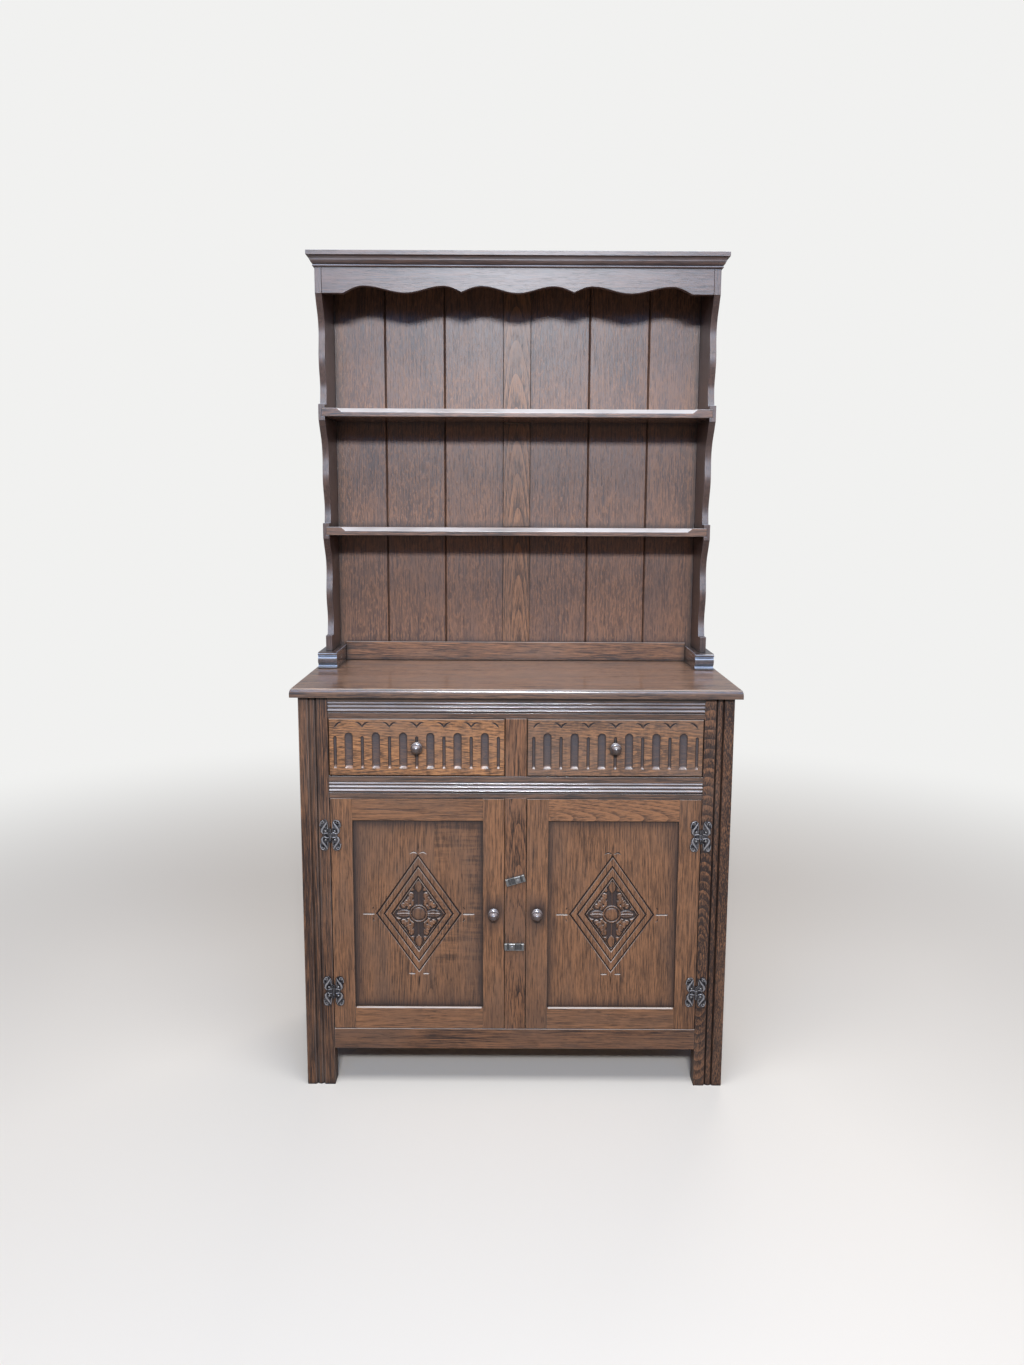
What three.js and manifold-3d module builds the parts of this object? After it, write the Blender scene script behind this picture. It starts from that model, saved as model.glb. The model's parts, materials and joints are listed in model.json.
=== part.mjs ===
// Oak welsh dresser: a cupboard base with two drawers and two panelled doors, and a plate
// rack that stands on its worktop. Lengths are in millimetres, +Z is up and the front
// faces -Y. Pieces are drawn with y = 0 on the front plane of the legs and z = 0 on the
// ground, and the finished group is moved so that the middle of its base is the origin.

import * as THREE from 'three';
import { mergeVertices } from 'three/addons/utils/BufferGeometryUtils.js';
import Module from 'manifold-3d';

const wasm = await Module();
wasm.setup();

// Driving dimensions of the base
const caseWidth = 920;
const caseDepth = 440;
const bottomRailClearance = 86;
const bottomRailHeight = 47;
const doorOpeningHeight = 524.5;
const middleRailHeight = 47.5;
const drawerOpeningHeight = 126;
const topRailHeight = 45;
const frontLegWidth = 62;
const frontLegDepth = 38;
const rearLegWidth = 40;
const rearLegDepth = 40;
const railThickness = 22;
const centreStileWidth = 45;
const worktopThickness = 20;
const worktopOverhang = 15;

// Driving dimensions of the plate rack
const rackInset = 11;
const rackSideThickness = 14.5;
const rackFootHeight = 38;
const lowerBayHeight = 310;
const middleBayHeight = 248;
const upperBayHeight = 246;
const rackShelfThickness = 18.5;
const friezeHeight = 55;
const corniceHeight = 33;
const corniceOverhang = 16;
const rackTopDepth = 182.5;
const upperShelfDepth = 173;
const lowerShelfDepth = 146.5;
const rackSideBottomDepth = 140;
const rackFootDepth = 170.5;

// Clearances and joinery that many pieces share
const fit = 0.3;
const doorGap = 1.5;
const drawerGap = 1.5;
const tenonThickness = 8;
const tenonLength = 18;
const tenonShoulder = 7;
const overrun = 2;

// Places worked out from the driving dimensions
const half = 1 / 2;
const caseHalf = caseWidth * half;
const legInner = caseHalf - frontLegWidth;
const rearLegInner = caseHalf - rearLegWidth;
const rearLegFront = caseDepth - rearLegDepth;
const stileHalf = centreStileWidth * half;
const openingWidth = legInner - stileHalf;
const openingCentre = (legInner + stileHalf) * half;
const bottomRailTop = bottomRailClearance + bottomRailHeight;
const middleRailBottom = bottomRailTop + doorOpeningHeight;
const middleRailTop = middleRailBottom + middleRailHeight;
const topRailBottom = middleRailTop + drawerOpeningHeight;
const legHeight = topRailBottom + topRailHeight;
const worktopTop = legHeight + worktopThickness;
const rackHalf = caseHalf - rackInset;
const rackSideInner = rackHalf - rackSideThickness;
const lowerShelfBottom = worktopTop + lowerBayHeight;
const lowerShelfTop = lowerShelfBottom + rackShelfThickness;
const upperShelfBottom = lowerShelfTop + middleBayHeight;
const upperShelfTop = upperShelfBottom + rackShelfThickness;
const friezeBottom = upperShelfTop + upperBayHeight;
const corniceBottom = friezeBottom + friezeHeight;
const rackTop = corniceBottom + corniceHeight;

// Finishes
const finish = (color, roughness, metalness) =>
  new THREE.MeshStandardMaterial({ color, roughness, metalness });
const darkOak = finish(0x5f4431, 0.5, 0);
const panelOak = finish(0x6b4a33, 0.5, 0);
const drawerOak = finish(0x8a5f3a, 0.5, 0);
const liningWood = finish(0xb08a5e, 0.7, 0);
const turnedWood = finish(0x3d261b, 0.35, 0);
const hingeMetal = finish(0x3a332c, 0.45, 0.9);
const buttonMetal = finish(0x8b8378, 0.4, 0.9);

// A closed geometry as a solid that can be joined and cut
function toSolid(geometry) {
  const bare = geometry.clone();
  bare.deleteAttribute('normal');
  bare.deleteAttribute('uv');
  const merged = mergeVertices(bare);
  const vertProperties = new Float32Array(merged.attributes.position.array);
  const triVerts = new Uint32Array(merged.index.array);
  return new wasm.Manifold(new wasm.Mesh({ numProp: 3, vertProperties, triVerts }));
}

function fromSolid(solid) {
  const { vertProperties, triVerts } = solid.getMesh();
  const geometry = new THREE.BufferGeometry();
  geometry.setAttribute('position', new THREE.BufferAttribute(vertProperties, 3));
  geometry.setIndex(new THREE.BufferAttribute(triVerts, 1));
  geometry.computeVertexNormals();
  return geometry;
}

const joined = (...bodies) => fromSolid(bodies.map(toSolid).reduce((sum, body) => sum.add(body)));
const common = (first, second) => fromSolid(toSolid(first).intersect(toSolid(second)));
const cutFrom = (body, ...tools) =>
  fromSolid(tools.map(toSolid).reduce((rest, tool) => rest.subtract(tool), toSolid(body)));

// A rectangular board between two limits along each axis, given in either order
function block([x0, x1], [y0, y1], [z0, z1]) {
  const board = new THREE.BoxGeometry(Math.abs(x1 - x0), Math.abs(y1 - y0), Math.abs(z1 - z0));
  return board.translate((x0 + x1) * half, (y0 + y1) * half, (z0 + z1) * half);
}

function extrude(points, length) {
  const shape = new THREE.Shape(points.map(([u, v]) => new THREE.Vector2(u, v)));
  return new THREE.ExtrudeGeometry(shape, { depth: length, bevelEnabled: false });
}

// Sections drawn in (y, z), (x, z) or (x, y) and drawn out along the axis that is left
function alongX(points, x0, x1) {
  const turn = new THREE.Matrix4().makeBasis(
    new THREE.Vector3(0, 1, 0), new THREE.Vector3(0, 0, 1), new THREE.Vector3(1, 0, 0));
  return extrude(points, Math.abs(x1 - x0)).applyMatrix4(turn).translate(Math.min(x0, x1), 0, 0);
}

function alongY(points, y0, y1) {
  const turn = new THREE.Matrix4().makeBasis(
    new THREE.Vector3(1, 0, 0), new THREE.Vector3(0, 0, 1), new THREE.Vector3(0, -1, 0));
  return extrude(points, Math.abs(y1 - y0)).applyMatrix4(turn).translate(0, Math.max(y0, y1), 0);
}

function alongZ(points, z0, z1) {
  return extrude(points, Math.abs(z1 - z0)).translate(0, 0, Math.min(z0, z1));
}

// A bar of round section standing along Z
function rod(radius, z0, z1, sides) {
  const bar = new THREE.CylinderGeometry(radius, radius, z1 - z0, sides);
  return bar.rotateX(Math.PI * half).translate(0, 0, (z0 + z1) * half);
}

const dresser = new THREE.Group();
const base = new THREE.Group();
const rack = new THREE.Group();
dresser.add(base, rack);

function place(group, name, geometry, material, x = 0, y = 0, z = 0) {
  const mesh = new THREE.Mesh(geometry, material);
  mesh.name = name;
  mesh.position.set(x, y, z);
  group.add(mesh);
  return mesh;
}

const sides = [['left', -1], ['right', 1]];

// Rails and stiles of the front frame. Stub tenons sit in the middle of the thickness.
const railTenonFront = (railThickness - tenonThickness) * half;
const railTenonBack = railTenonFront + tenonThickness;
const stileTenonLength = 10;
const reedCount = 3;
const reedPitch = 8;
const reedDepth = 3;
const reedMargin = 11;
const reedSteps = 6;

// One rail's section in (y, z), with a band of reeds worked into its face
function reededSection(bottom, top) {
  const points = [[0, bottom], [0, bottom + reedMargin]];
  for (let reed = 0; reed < reedCount; reed += 1) {
    for (let step = 0; step <= reedSteps; step += 1) {
      const share = step / reedSteps;
      const drop = reedDepth * (1 - Math.sin(Math.PI * share));
      if (reed === 0 || step > 0) {
        points.push([drop, bottom + reedMargin + reedPitch * (reed + share)]);
      }
    }
  }
  points.push([0, bottom + reedMargin + reedPitch * reedCount]);
  points.push([0, top], [railThickness, top], [railThickness, bottom]);
  return points;
}

// The tenon or, with a gap, the mortise at one end of a rail
function railTenon(side, bottom, top, gap) {
  return block(
    [side * (legInner - overrun), side * (legInner + tenonLength + gap)],
    [railTenonFront - gap, railTenonBack + gap],
    [bottom + tenonShoulder - gap, top - tenonShoulder + gap]);
}

function stileTenon(shoulder, direction, gap) {
  return block(
    [-stileHalf + tenonShoulder - gap, stileHalf - tenonShoulder + gap],
    [railTenonFront - gap, railTenonBack + gap],
    [shoulder - direction * overrun, shoulder + direction * (stileTenonLength + gap)]);
}

function rail(section, bottom, top) {
  const bar = alongX(section, -legInner + fit, legInner - fit);
  return joined(bar, railTenon(-1, bottom, top, 0), railTenon(1, bottom, top, 0));
}

const bottomRailSection = [
  [0, bottomRailClearance], [0, bottomRailTop],
  [railThickness, bottomRailTop], [railThickness, bottomRailClearance]];

place(base, 'top_rail', cutFrom(
  rail(reededSection(topRailBottom, legHeight), topRailBottom, legHeight),
  stileTenon(topRailBottom, 1, fit)), darkOak);

// The rail's back is grooved for the dust board under the drawers
const deckThickness = 12;
const deckTongue = 6;
const deckTongueThickness = 6;
const deckBottom = middleRailTop - deckThickness;
const deckGroove = block(
  [-legInner - overrun, legInner + overrun],
  [railThickness - deckTongue - fit, railThickness + overrun],
  [deckBottom - fit, deckBottom + deckTongueThickness + fit]);
place(base, 'middle_rail', cutFrom(
  rail(reededSection(middleRailBottom, middleRailTop), middleRailBottom, middleRailTop),
  stileTenon(middleRailBottom, 1, fit), stileTenon(middleRailTop, -1, fit), deckGroove), darkOak);

const floorThickness = 12;
const floorTongue = 4;
const floorTongueThickness = 6;
const floorBottom = bottomRailTop - floorThickness;
const floorGroove = block(
  [-legInner - overrun, legInner + overrun],
  [railThickness - floorTongue - fit, railThickness + overrun],
  [floorBottom - fit, floorBottom + floorTongueThickness + fit]);
place(base, 'bottom_rail', cutFrom(
  rail(bottomRailSection, bottomRailClearance, bottomRailTop),
  stileTenon(bottomRailTop, -1, fit), floorGroove), darkOak);

function stile(bottom, top, bores) {
  const bar = block([-stileHalf, stileHalf], [0, railThickness], [bottom + fit, top - fit]);
  const tenoned = joined(bar, stileTenon(bottom, -1, 0), stileTenon(top, 1, 0));
  return bores.length ? cutFrom(tenoned, ...bores) : tenoned;
}

place(base, 'drawer_stile', stile(middleRailTop, topRailBottom, []), darkOak);

// Turn buttons on the stile between the doors. Each turns about its own screw: its long
// arm reaches over a door's edge when it is turned round.
const buttonThickness = 3.5;
const buttonHeight = 15;
const buttonLongArm = 26;
const buttonShortArm = 16;
const buttonEndRise = 1;
const buttonEndLength = 5;
const buttonScrewRadius = 2;
const buttonScrewLength = 12;
const buttonHeadRadius = 4;
const buttonHeadRise = 0.8;
const buttonSides = 16;
const upperButtonAlong = 5;
const upperButtonHeight = 477;
const upperButtonTilt = THREE.MathUtils.degToRad(-16.6);
const lowerButtonAlong = -6.7;
const lowerButtonHeight = 324.5;

// A bar of round section along Y, from one depth to another
function pin(radius, y0, y1, sides) {
  return rod(radius, Math.min(y0, y1), Math.max(y0, y1), sides).rotateX(-Math.PI * half);
}

function buttonPlate(shortSide) {
  const face = -fit - buttonThickness;
  const shortEnd = shortSide * buttonShortArm;
  const longEnd = -shortSide * buttonLongArm;
  const halfHeight = buttonHeight * half;
  const raisedEnd = (end, inward) => block(
    [end, end + inward * buttonEndLength], [face - buttonEndRise, face + overrun * half],
    [-halfHeight, halfHeight]);
  return joined(
    block([shortEnd, longEnd], [face, -fit], [-halfHeight, halfHeight]),
    raisedEnd(shortEnd, -shortSide),
    raisedEnd(longEnd, shortSide),
    pin(buttonHeadRadius, face - buttonHeadRise, -fit - buttonThickness * half, buttonSides),
    pin(buttonScrewRadius, -fit - buttonThickness * half, buttonScrewLength, buttonSides));
}

const buttonBore = (along, height) =>
  pin(buttonScrewRadius + fit, -overrun, buttonScrewLength + fit, buttonSides)
    .translate(along, 0, height);

place(base, 'door_stile', stile(bottomRailTop, middleRailBottom, [
  buttonBore(upperButtonAlong, upperButtonHeight),
  buttonBore(lowerButtonAlong, lowerButtonHeight)]), darkOak);
const upperButton = place(base, 'turn_button_upper', buttonPlate(1), buttonMetal,
  upperButtonAlong, 0, upperButtonHeight);
upperButton.rotation.y = upperButtonTilt;
place(base, 'turn_button_lower', buttonPlate(-1), buttonMetal,
  lowerButtonAlong, 0, lowerButtonHeight);

// Legs. The front ones have a sunk band down the face between two quirks.
const legOuterStrip = 20;
const legBandWidth = 19;
const legQuirkDepth = 5;
const legQuirkWidth = 5;
const legBandDrop = 2;
const legBandCrown = 1.2;

// Sides of the base: a panel in grooves over a bottom rail
const sidePanelThickness = 10;
const sidePanelInset = 12;
const sidePanelGroove = 8;
const sideRailInset = 6;
const sideRailTongue = 6;
const panelOuter = caseHalf - sidePanelInset;
const panelInner = panelOuter - sidePanelThickness;
const panelMiddle = (panelOuter + panelInner) * half;
const sideRailOuter = caseHalf - sideRailInset;
const sideRailInner = sideRailOuter - railThickness;
const panelBottom = bottomRailTop - sideRailTongue;

function sideTenon(side, legFace, direction, gap) {
  return block(
    [side * (panelMiddle - tenonThickness * half - gap),
      side * (panelMiddle + tenonThickness * half + gap)],
    [legFace - direction * overrun, legFace + direction * (tenonLength + gap)],
    [bottomRailClearance + tenonShoulder - gap, bottomRailTop - tenonShoulder + gap]);
}

function sidePanelSlot(side, legFace, direction) {
  return block(
    [side * (panelInner - fit), side * (panelOuter + fit)],
    [legFace - direction * overrun, legFace + direction * (sidePanelGroove + fit)],
    [panelBottom - fit, legHeight + overrun]);
}

function frontLegSection(side) {
  const edge = (inset, drop) => [side * (caseHalf - inset), drop];
  const bandStart = legOuterStrip;
  const bandEnd = legOuterStrip + legBandWidth;
  return [
    edge(0, 0), edge(bandStart, 0),
    edge(bandStart + legQuirkWidth * half, legQuirkDepth),
    edge(bandStart + legQuirkWidth, legBandDrop),
    edge((bandStart + bandEnd) * half, legBandDrop - legBandCrown),
    edge(bandEnd - legQuirkWidth, legBandDrop),
    edge(bandEnd - legQuirkWidth * half, legQuirkDepth),
    edge(bandEnd, 0), edge(frontLegWidth, 0),
    edge(frontLegWidth, frontLegDepth), edge(0, frontLegDepth)];
}

function frontLeg(side) {
  return cutFrom(
    alongZ(frontLegSection(side), 0, legHeight - fit),
    railTenon(side, bottomRailClearance, bottomRailTop, fit),
    railTenon(side, middleRailBottom, middleRailTop, fit),
    railTenon(side, topRailBottom, legHeight, fit),
    sideTenon(side, frontLegDepth, -1, fit),
    sidePanelSlot(side, frontLegDepth, -1));
}

// The cupboard's back is a thin sheet held in grooves of the rear legs
const backSheetThickness = 6;
const backSheetInset = 5;
const backSheetGroove = 8;
const backSheetRise = 8;
const backSheetBack = caseDepth - backSheetInset;
const backSheetFront = backSheetBack - backSheetThickness;
const backSheetBottom = bottomRailClearance + backSheetRise;

function rearLeg(side) {
  return cutFrom(
    block([side * rearLegInner, side * caseHalf], [rearLegFront, caseDepth], [0, legHeight - fit]),
    sideTenon(side, rearLegFront, 1, fit),
    sidePanelSlot(side, rearLegFront, 1),
    block(
      [side * (rearLegInner - overrun), side * (rearLegInner + backSheetGroove + fit)],
      [backSheetFront - fit, backSheetBack + fit],
      [backSheetBottom - fit, legHeight + overrun]));
}

// Battens glued inside each side panel carry the shelf and the dust board
const battenThickness = 15;
const battenHeight = 20;
const battenSetback = 30;
const cupboardShelfThickness = 15;
const cupboardShelfTopShare = 0.5;
const cupboardShelfTop = bottomRailTop + doorOpeningHeight * cupboardShelfTopShare;
const cupboardShelfBottom = cupboardShelfTop - cupboardShelfThickness;

function sidePanel(side) {
  const batten = (top) => block(
    [side * (panelInner - battenThickness), side * (panelInner + overrun)],
    [frontLegDepth + battenSetback, rearLegFront - battenSetback],
    [top - fit - battenHeight, top - fit]);
  return joined(
    block([side * panelInner, side * panelOuter],
      [frontLegDepth - sidePanelGroove, rearLegFront + sidePanelGroove],
      [panelBottom, legHeight - fit]),
    batten(cupboardShelfBottom),
    batten(deckBottom));
}

const sideFloorGroove = (side) => block(
  [side * (sideRailInner - overrun), side * (sideRailInner + floorTongue + fit)],
  [frontLegDepth - overrun, rearLegFront + overrun],
  [floorBottom - fit, floorBottom + floorTongueThickness + fit]);

function sideBottomRail(side) {
  const bar = block([side * sideRailInner, side * sideRailOuter],
    [frontLegDepth + fit, rearLegFront - fit], [bottomRailClearance, bottomRailTop]);
  return cutFrom(
    joined(bar, sideTenon(side, frontLegDepth, -1, 0), sideTenon(side, rearLegFront, 1, 0)),
    block([side * (panelInner - fit), side * (panelOuter + fit)],
      [0, caseDepth], [panelBottom - fit, bottomRailTop + overrun]),
    sideFloorGroove(side));
}

for (const [word, side] of sides) {
  place(base, `front_leg_${word}`, frontLeg(side), darkOak);
  place(base, `rear_leg_${word}`, rearLeg(side), darkOak);
  place(base, `side_panel_${word}`, sidePanel(side), panelOak);
  place(base, `side_bottom_rail_${word}`, sideBottomRail(side), darkOak);
}

place(base, 'base_back_panel', block(
  [-rearLegInner - backSheetGroove, rearLegInner + backSheetGroove],
  [backSheetFront, backSheetBack], [backSheetBottom, legHeight - fit]), liningWood);

// Clearance notches where a board passes between the legs
function legNotches(bottom, top) {
  return sides.flatMap(([, side]) => [
    block([side * (legInner - fit), side * (caseHalf + overrun)],
      [-overrun, frontLegDepth + fit], [bottom - overrun, top + overrun]),
    block([side * (rearLegInner - fit), side * (caseHalf + overrun)],
      [rearLegFront - fit, caseDepth + overrun], [bottom - overrun, top + overrun])]);
}

function cupboardFloor() {
  const reach = sideRailInner + floorTongue;
  return cutFrom(
    block([-reach, reach], [railThickness - floorTongue, backSheetFront - fit],
      [floorBottom, bottomRailTop]),
    block([-reach - overrun, reach + overrun], [-overrun, railThickness + fit],
      [floorBottom + floorTongueThickness, bottomRailTop + overrun]),
    ...sides.map(([, side]) => block(
      [side * (sideRailInner - fit), side * (reach + overrun)], [-overrun, caseDepth],
      [floorBottom + floorTongueThickness, bottomRailTop + overrun])),
    ...legNotches(floorBottom, bottomRailTop));
}
place(base, 'cupboard_floor', cupboardFloor(), liningWood);

const shelfSetback = 60;
place(base, 'cupboard_shelf', cutFrom(
  block([-panelInner + fit, panelInner - fit], [shelfSetback, backSheetFront - fit],
    [cupboardShelfBottom, cupboardShelfTop]),
  ...legNotches(cupboardShelfBottom, cupboardShelfTop)), liningWood);

// Dust board under the drawers, with the guides that keep them square
const guideHeight = 40;

function drawerDeck() {
  const back = backSheetFront - fit;
  const board = cutFrom(
    block([-panelInner + fit, panelInner - fit], [railThickness - deckTongue, back],
      [deckBottom, middleRailTop]),
    block([-caseHalf, caseHalf], [-overrun, railThickness + fit],
      [deckBottom + deckTongueThickness, middleRailTop + overrun]),
    ...legNotches(deckBottom, middleRailTop));
  const sideGuides = sides.map(([, side]) => block(
    [side * legInner, side * (panelInner - fit)],
    [frontLegDepth + fit, rearLegFront - fit],
    [middleRailTop - overrun, middleRailTop + guideHeight]));
  const centreGuide = block([-stileHalf, stileHalf], [railThickness + fit, back],
    [middleRailTop - overrun, middleRailTop + guideHeight]);
  return joined(board, centreGuide, ...sideGuides);
}
place(base, 'drawer_deck', drawerDeck(), liningWood);

// Worktop. Along its front and ends the edge falls in a quarter oval to an upright strip.
const worktopEdgeInset = 6;
const worktopEdgeDrop = 13;
const worktopEdgeSteps = 6;
const worktopHalf = caseHalf + worktopOverhang;
const worktopBottom = legHeight;

// Points down the edge from the top surface, as distances in from the edge and heights
function worktopEdge() {
  const points = [];
  for (let step = 0; step <= worktopEdgeSteps; step += 1) {
    const turn = Math.PI * half * (step / worktopEdgeSteps);
    points.push([worktopEdgeInset * (1 - Math.sin(turn)),
      worktopTop - worktopEdgeDrop * (1 - Math.cos(turn))]);
  }
  points.push([0, worktopBottom]);
  return points;
}

function worktop() {
  const frontToBack = worktopEdge().map(([inset, height]) => [inset - worktopOverhang, height]);
  const leftHalf = worktopEdge().map(([inset, height]) => [inset - worktopHalf, height]);
  const rightHalf = worktopEdge().map(([inset, height]) => [worktopHalf - inset, height]);
  return common(
    alongX([...frontToBack, [caseDepth, worktopBottom], [caseDepth, worktopTop]],
      -worktopHalf, worktopHalf),
    alongY([...leftHalf, ...rightHalf.reverse()], -worktopOverhang, caseDepth));
}
place(base, 'worktop', worktop(), darkOak);

// Turned knobs, one shape for drawers and doors, with a peg glued in a bore
const knobRadius = 12.6;
const knobProjection = 28;
const knobPegRadius = 4;
const knobPegLength = 12;
const knobSides = 16;
// Each pair is a radius as a share of the knob's radius and a distance out from the face
// as a share of its projection
const knobShares = [
  [0.87, 0.02], [0.89, 0.1], [0.68, 0.19], [0.54, 0.28], [0.56, 0.37], [0.9, 0.44],
  [0.96, 0.5], [0.88, 0.56], [0.84, 0.59], [0.98, 0.69], [1, 0.76], [0.92, 0.86],
  [0.68, 0.95], [0.32, 0.99]];

function knob() {
  const points = [[0, -knobPegLength], [knobPegRadius, -knobPegLength], [knobPegRadius, fit]];
  for (const [radiusShare, outShare] of knobShares) {
    points.push([knobRadius * radiusShare, Math.max(fit, knobProjection * outShare)]);
  }
  points.push([0, knobProjection]);
  const profile = points.map(([radius, out]) => new THREE.Vector2(radius, out));
  return new THREE.LatheGeometry(profile, knobSides).rotateZ(Math.PI);
}

const knobBore = (x, z) =>
  pin(knobPegRadius + fit, -overrun, knobPegLength + fit, knobSides).translate(x, 0, z);

// Drawers: a fluted front, a box of two sides and a back, and a bottom in grooves
const drawerFrontThickness = 20;
const drawerSideThickness = 10;
const drawerSideHeight = 95;
const drawerLap = 10;
const drawerBackGap = 28;
const drawerBottomThickness = 5;
const drawerBottomRise = 7;
const drawerGroove = 5;
const fluteDepth = 5;
const wideFluteWidth = 17.6;
const narrowFluteWidth = 7;
const flutePitch = 28.8;
const wideFluteCount = 6;
const fluteBottomRise = 16;
const wideFluteHeight = 79;
const narrowFluteHeight = 71;
const fluteRoundSteps = 6;
const drawerWidth = openingWidth - drawerGap - drawerGap;
const drawerHalf = drawerWidth * half;
const drawerBottom = middleRailTop + drawerGap;
const drawerTop = topRailBottom - drawerGap;
const drawerMiddle = (drawerBottom + drawerTop) * half;
const drawerBack = backSheetFront - drawerBackGap;
const drawerSideBottom = middleRailTop + fit;
const drawerPanelBottom = drawerSideBottom + drawerBottomRise;
const drawerPanelTop = drawerPanelBottom + drawerBottomThickness;

// A cutter for one flute: upright with a half-round head
function flute(x, width, height) {
  const radius = width * half;
  const foot = middleRailTop + fluteBottomRise;
  const spring = foot + height - radius;
  const points = [[x - radius, foot], [x + radius, foot]];
  for (let step = 0; step <= fluteRoundSteps; step += 1) {
    const turn = Math.PI * (step / fluteRoundSteps);
    points.push([x + radius * Math.cos(turn), spring + radius * Math.sin(turn)]);
  }
  return alongY(points, -overrun, fluteDepth);
}

function drawerFront() {
  const flutes = [];
  for (let index = -wideFluteCount; index <= wideFluteCount; index += 1) {
    const wide = Math.abs(index) % 2 === 1;
    flutes.push(wide
      ? flute(index * flutePitch, wideFluteWidth, wideFluteHeight)
      : flute(index * flutePitch, narrowFluteWidth, narrowFluteHeight));
  }
  const laps = sides.map(([, side]) => block(
    [side * (drawerHalf - drawerSideThickness - fit), side * (drawerHalf + overrun)],
    [drawerFrontThickness - drawerLap - fit, drawerFrontThickness + overrun],
    [drawerBottom - overrun, drawerSideBottom + drawerSideHeight + fit]));
  const bottomGroove = block(
    [-drawerHalf + drawerSideThickness - drawerGroove, drawerHalf - drawerSideThickness + drawerGroove],
    [drawerFrontThickness - drawerGroove - fit, drawerFrontThickness + overrun],
    [drawerPanelBottom - fit, drawerPanelTop + fit]);
  return cutFrom(
    block([-drawerHalf, drawerHalf], [0, drawerFrontThickness], [drawerBottom, drawerTop]),
    ...flutes, ...laps, bottomGroove, knobBore(0, drawerMiddle));
}

function drawerBox() {
  const inner = drawerHalf - drawerSideThickness;
  const front = drawerFrontThickness - drawerLap;
  const outline = [
    [-drawerHalf, front], [-inner, front], [-inner, drawerBack - drawerSideThickness],
    [inner, drawerBack - drawerSideThickness], [inner, front], [drawerHalf, front],
    [drawerHalf, drawerBack], [-drawerHalf, drawerBack]];
  return cutFrom(
    alongZ(outline, drawerSideBottom, drawerSideBottom + drawerSideHeight),
    block([-inner - drawerGroove - fit, inner + drawerGroove + fit], [0, drawerBack + overrun],
      [drawerPanelBottom - fit, drawerPanelTop + fit]),
    block([-inner, inner], [drawerBack - drawerSideThickness - overrun, drawerBack + overrun],
      [drawerSideBottom - overrun, drawerPanelTop + fit]));
}

function drawerPanel() {
  const reach = drawerHalf - drawerSideThickness + drawerGroove - fit;
  return block([-reach, reach], [drawerFrontThickness - drawerGroove, drawerBack],
    [drawerPanelBottom, drawerPanelTop]);
}

for (const [word, side] of sides) {
  const drawer = new THREE.Group();
  drawer.position.x = side * openingCentre;
  place(drawer, `${word}_drawer_front`, drawerFront(), drawerOak);
  place(drawer, `${word}_drawer_box`, drawerBox(), liningWood);
  place(drawer, `${word}_drawer_bottom`, drawerPanel(), liningWood);
  place(drawer, `${word}_drawer_knob`, knob(), turnedWood, 0, 0, drawerMiddle);
  base.add(drawer);
}

// Doors: stiles and rails with stub tenons round a panel carved with three diamonds
const doorThickness = 20;
const doorStileWidth = 46;
const doorTopRailWidth = 48;
const doorBottomRailWidth = 49;
const doorPanelThickness = 8;
const doorPanelRecess = 7;
const doorTenonLength = 20;
const doorPanelGroove = tenonShoulder - fit - fit;
const doorChamfer = 6;
const doorChamferStop = 22;
const doorKnobInset = 23;
const doorKnobHeight = 400;
const diamondHalfWidth = 91;
const diamondHalfHeight = 132;
const diamondShares = [1, 0.82, 0.64];
const diamondCornerShares = [[1, 0], [0, 1], [-1, 0], [0, -1]];
const diamondCutWidth = 5;
const diamondCutDepth = 2.4;
const doorLeft = stileHalf + doorGap;
const doorRight = legInner - doorGap;
const doorBottom = bottomRailTop + doorGap;
const doorTop = middleRailBottom - doorGap;
const panelLeft = doorLeft + doorStileWidth;
const panelRight = doorRight - doorStileWidth;
const panelFoot = doorBottom + doorBottomRailWidth;
const panelHead = doorTop - doorTopRailWidth;
const doorPanelBack = doorPanelRecess + doorPanelThickness;
const doorTenonFront = (doorThickness - tenonThickness) * half;
const doorTenonBack = doorTenonFront + tenonThickness;

// The groove that holds the panel, as one block that reaches into every frame member
const doorPanelSlot = (side) => block(
  [side * (panelLeft - doorPanelGroove - fit), side * (panelRight + doorPanelGroove + fit)],
  [doorPanelRecess - fit, doorPanelBack + fit],
  [panelFoot - doorPanelGroove - fit, panelHead + doorPanelGroove + fit]);

function doorTenon(x, direction, bottom, top, gap) {
  return block([x - direction * overrun, x + direction * (doorTenonLength + gap)],
    [doorTenonFront - gap, doorTenonBack + gap],
    [bottom + tenonShoulder - gap, top - tenonShoulder + gap]);
}

function doorMortises(x, direction) {
  return [
    doorTenon(x, direction, doorBottom, panelFoot, fit),
    doorTenon(x, direction, panelHead, doorTop, fit)];
}

function doorStile(side, edge, inner, bores) {
  const direction = Math.sign(edge - inner);
  return cutFrom(
    block([side * edge, side * inner], [0, doorThickness], [doorBottom, doorTop]),
    doorPanelSlot(side),
    ...doorMortises(side * inner, side * direction),
    ...bores);
}

// A chamfer along the front of a rail's top edge that stops short of the stiles
const doorRailChamfer = (side, top) => alongX(
  [[-overrun, top - doorChamfer - overrun], [-overrun, top + overrun],
    [doorChamfer + overrun, top + overrun]],
  side * (panelLeft + doorChamferStop), side * (panelRight - doorChamferStop));

function doorRail(side, bottom, top, ...cuts) {
  const bar = block([side * (panelLeft + fit), side * (panelRight - fit)], [0, doorThickness],
    [bottom, top]);
  const shaped = cutFrom(bar, doorPanelSlot(side), ...cuts);
  return joined(shaped,
    doorTenon(side * (panelLeft + fit), -side, bottom, top, 0),
    doorTenon(side * (panelRight - fit), side, bottom, top, 0));
}

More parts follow.
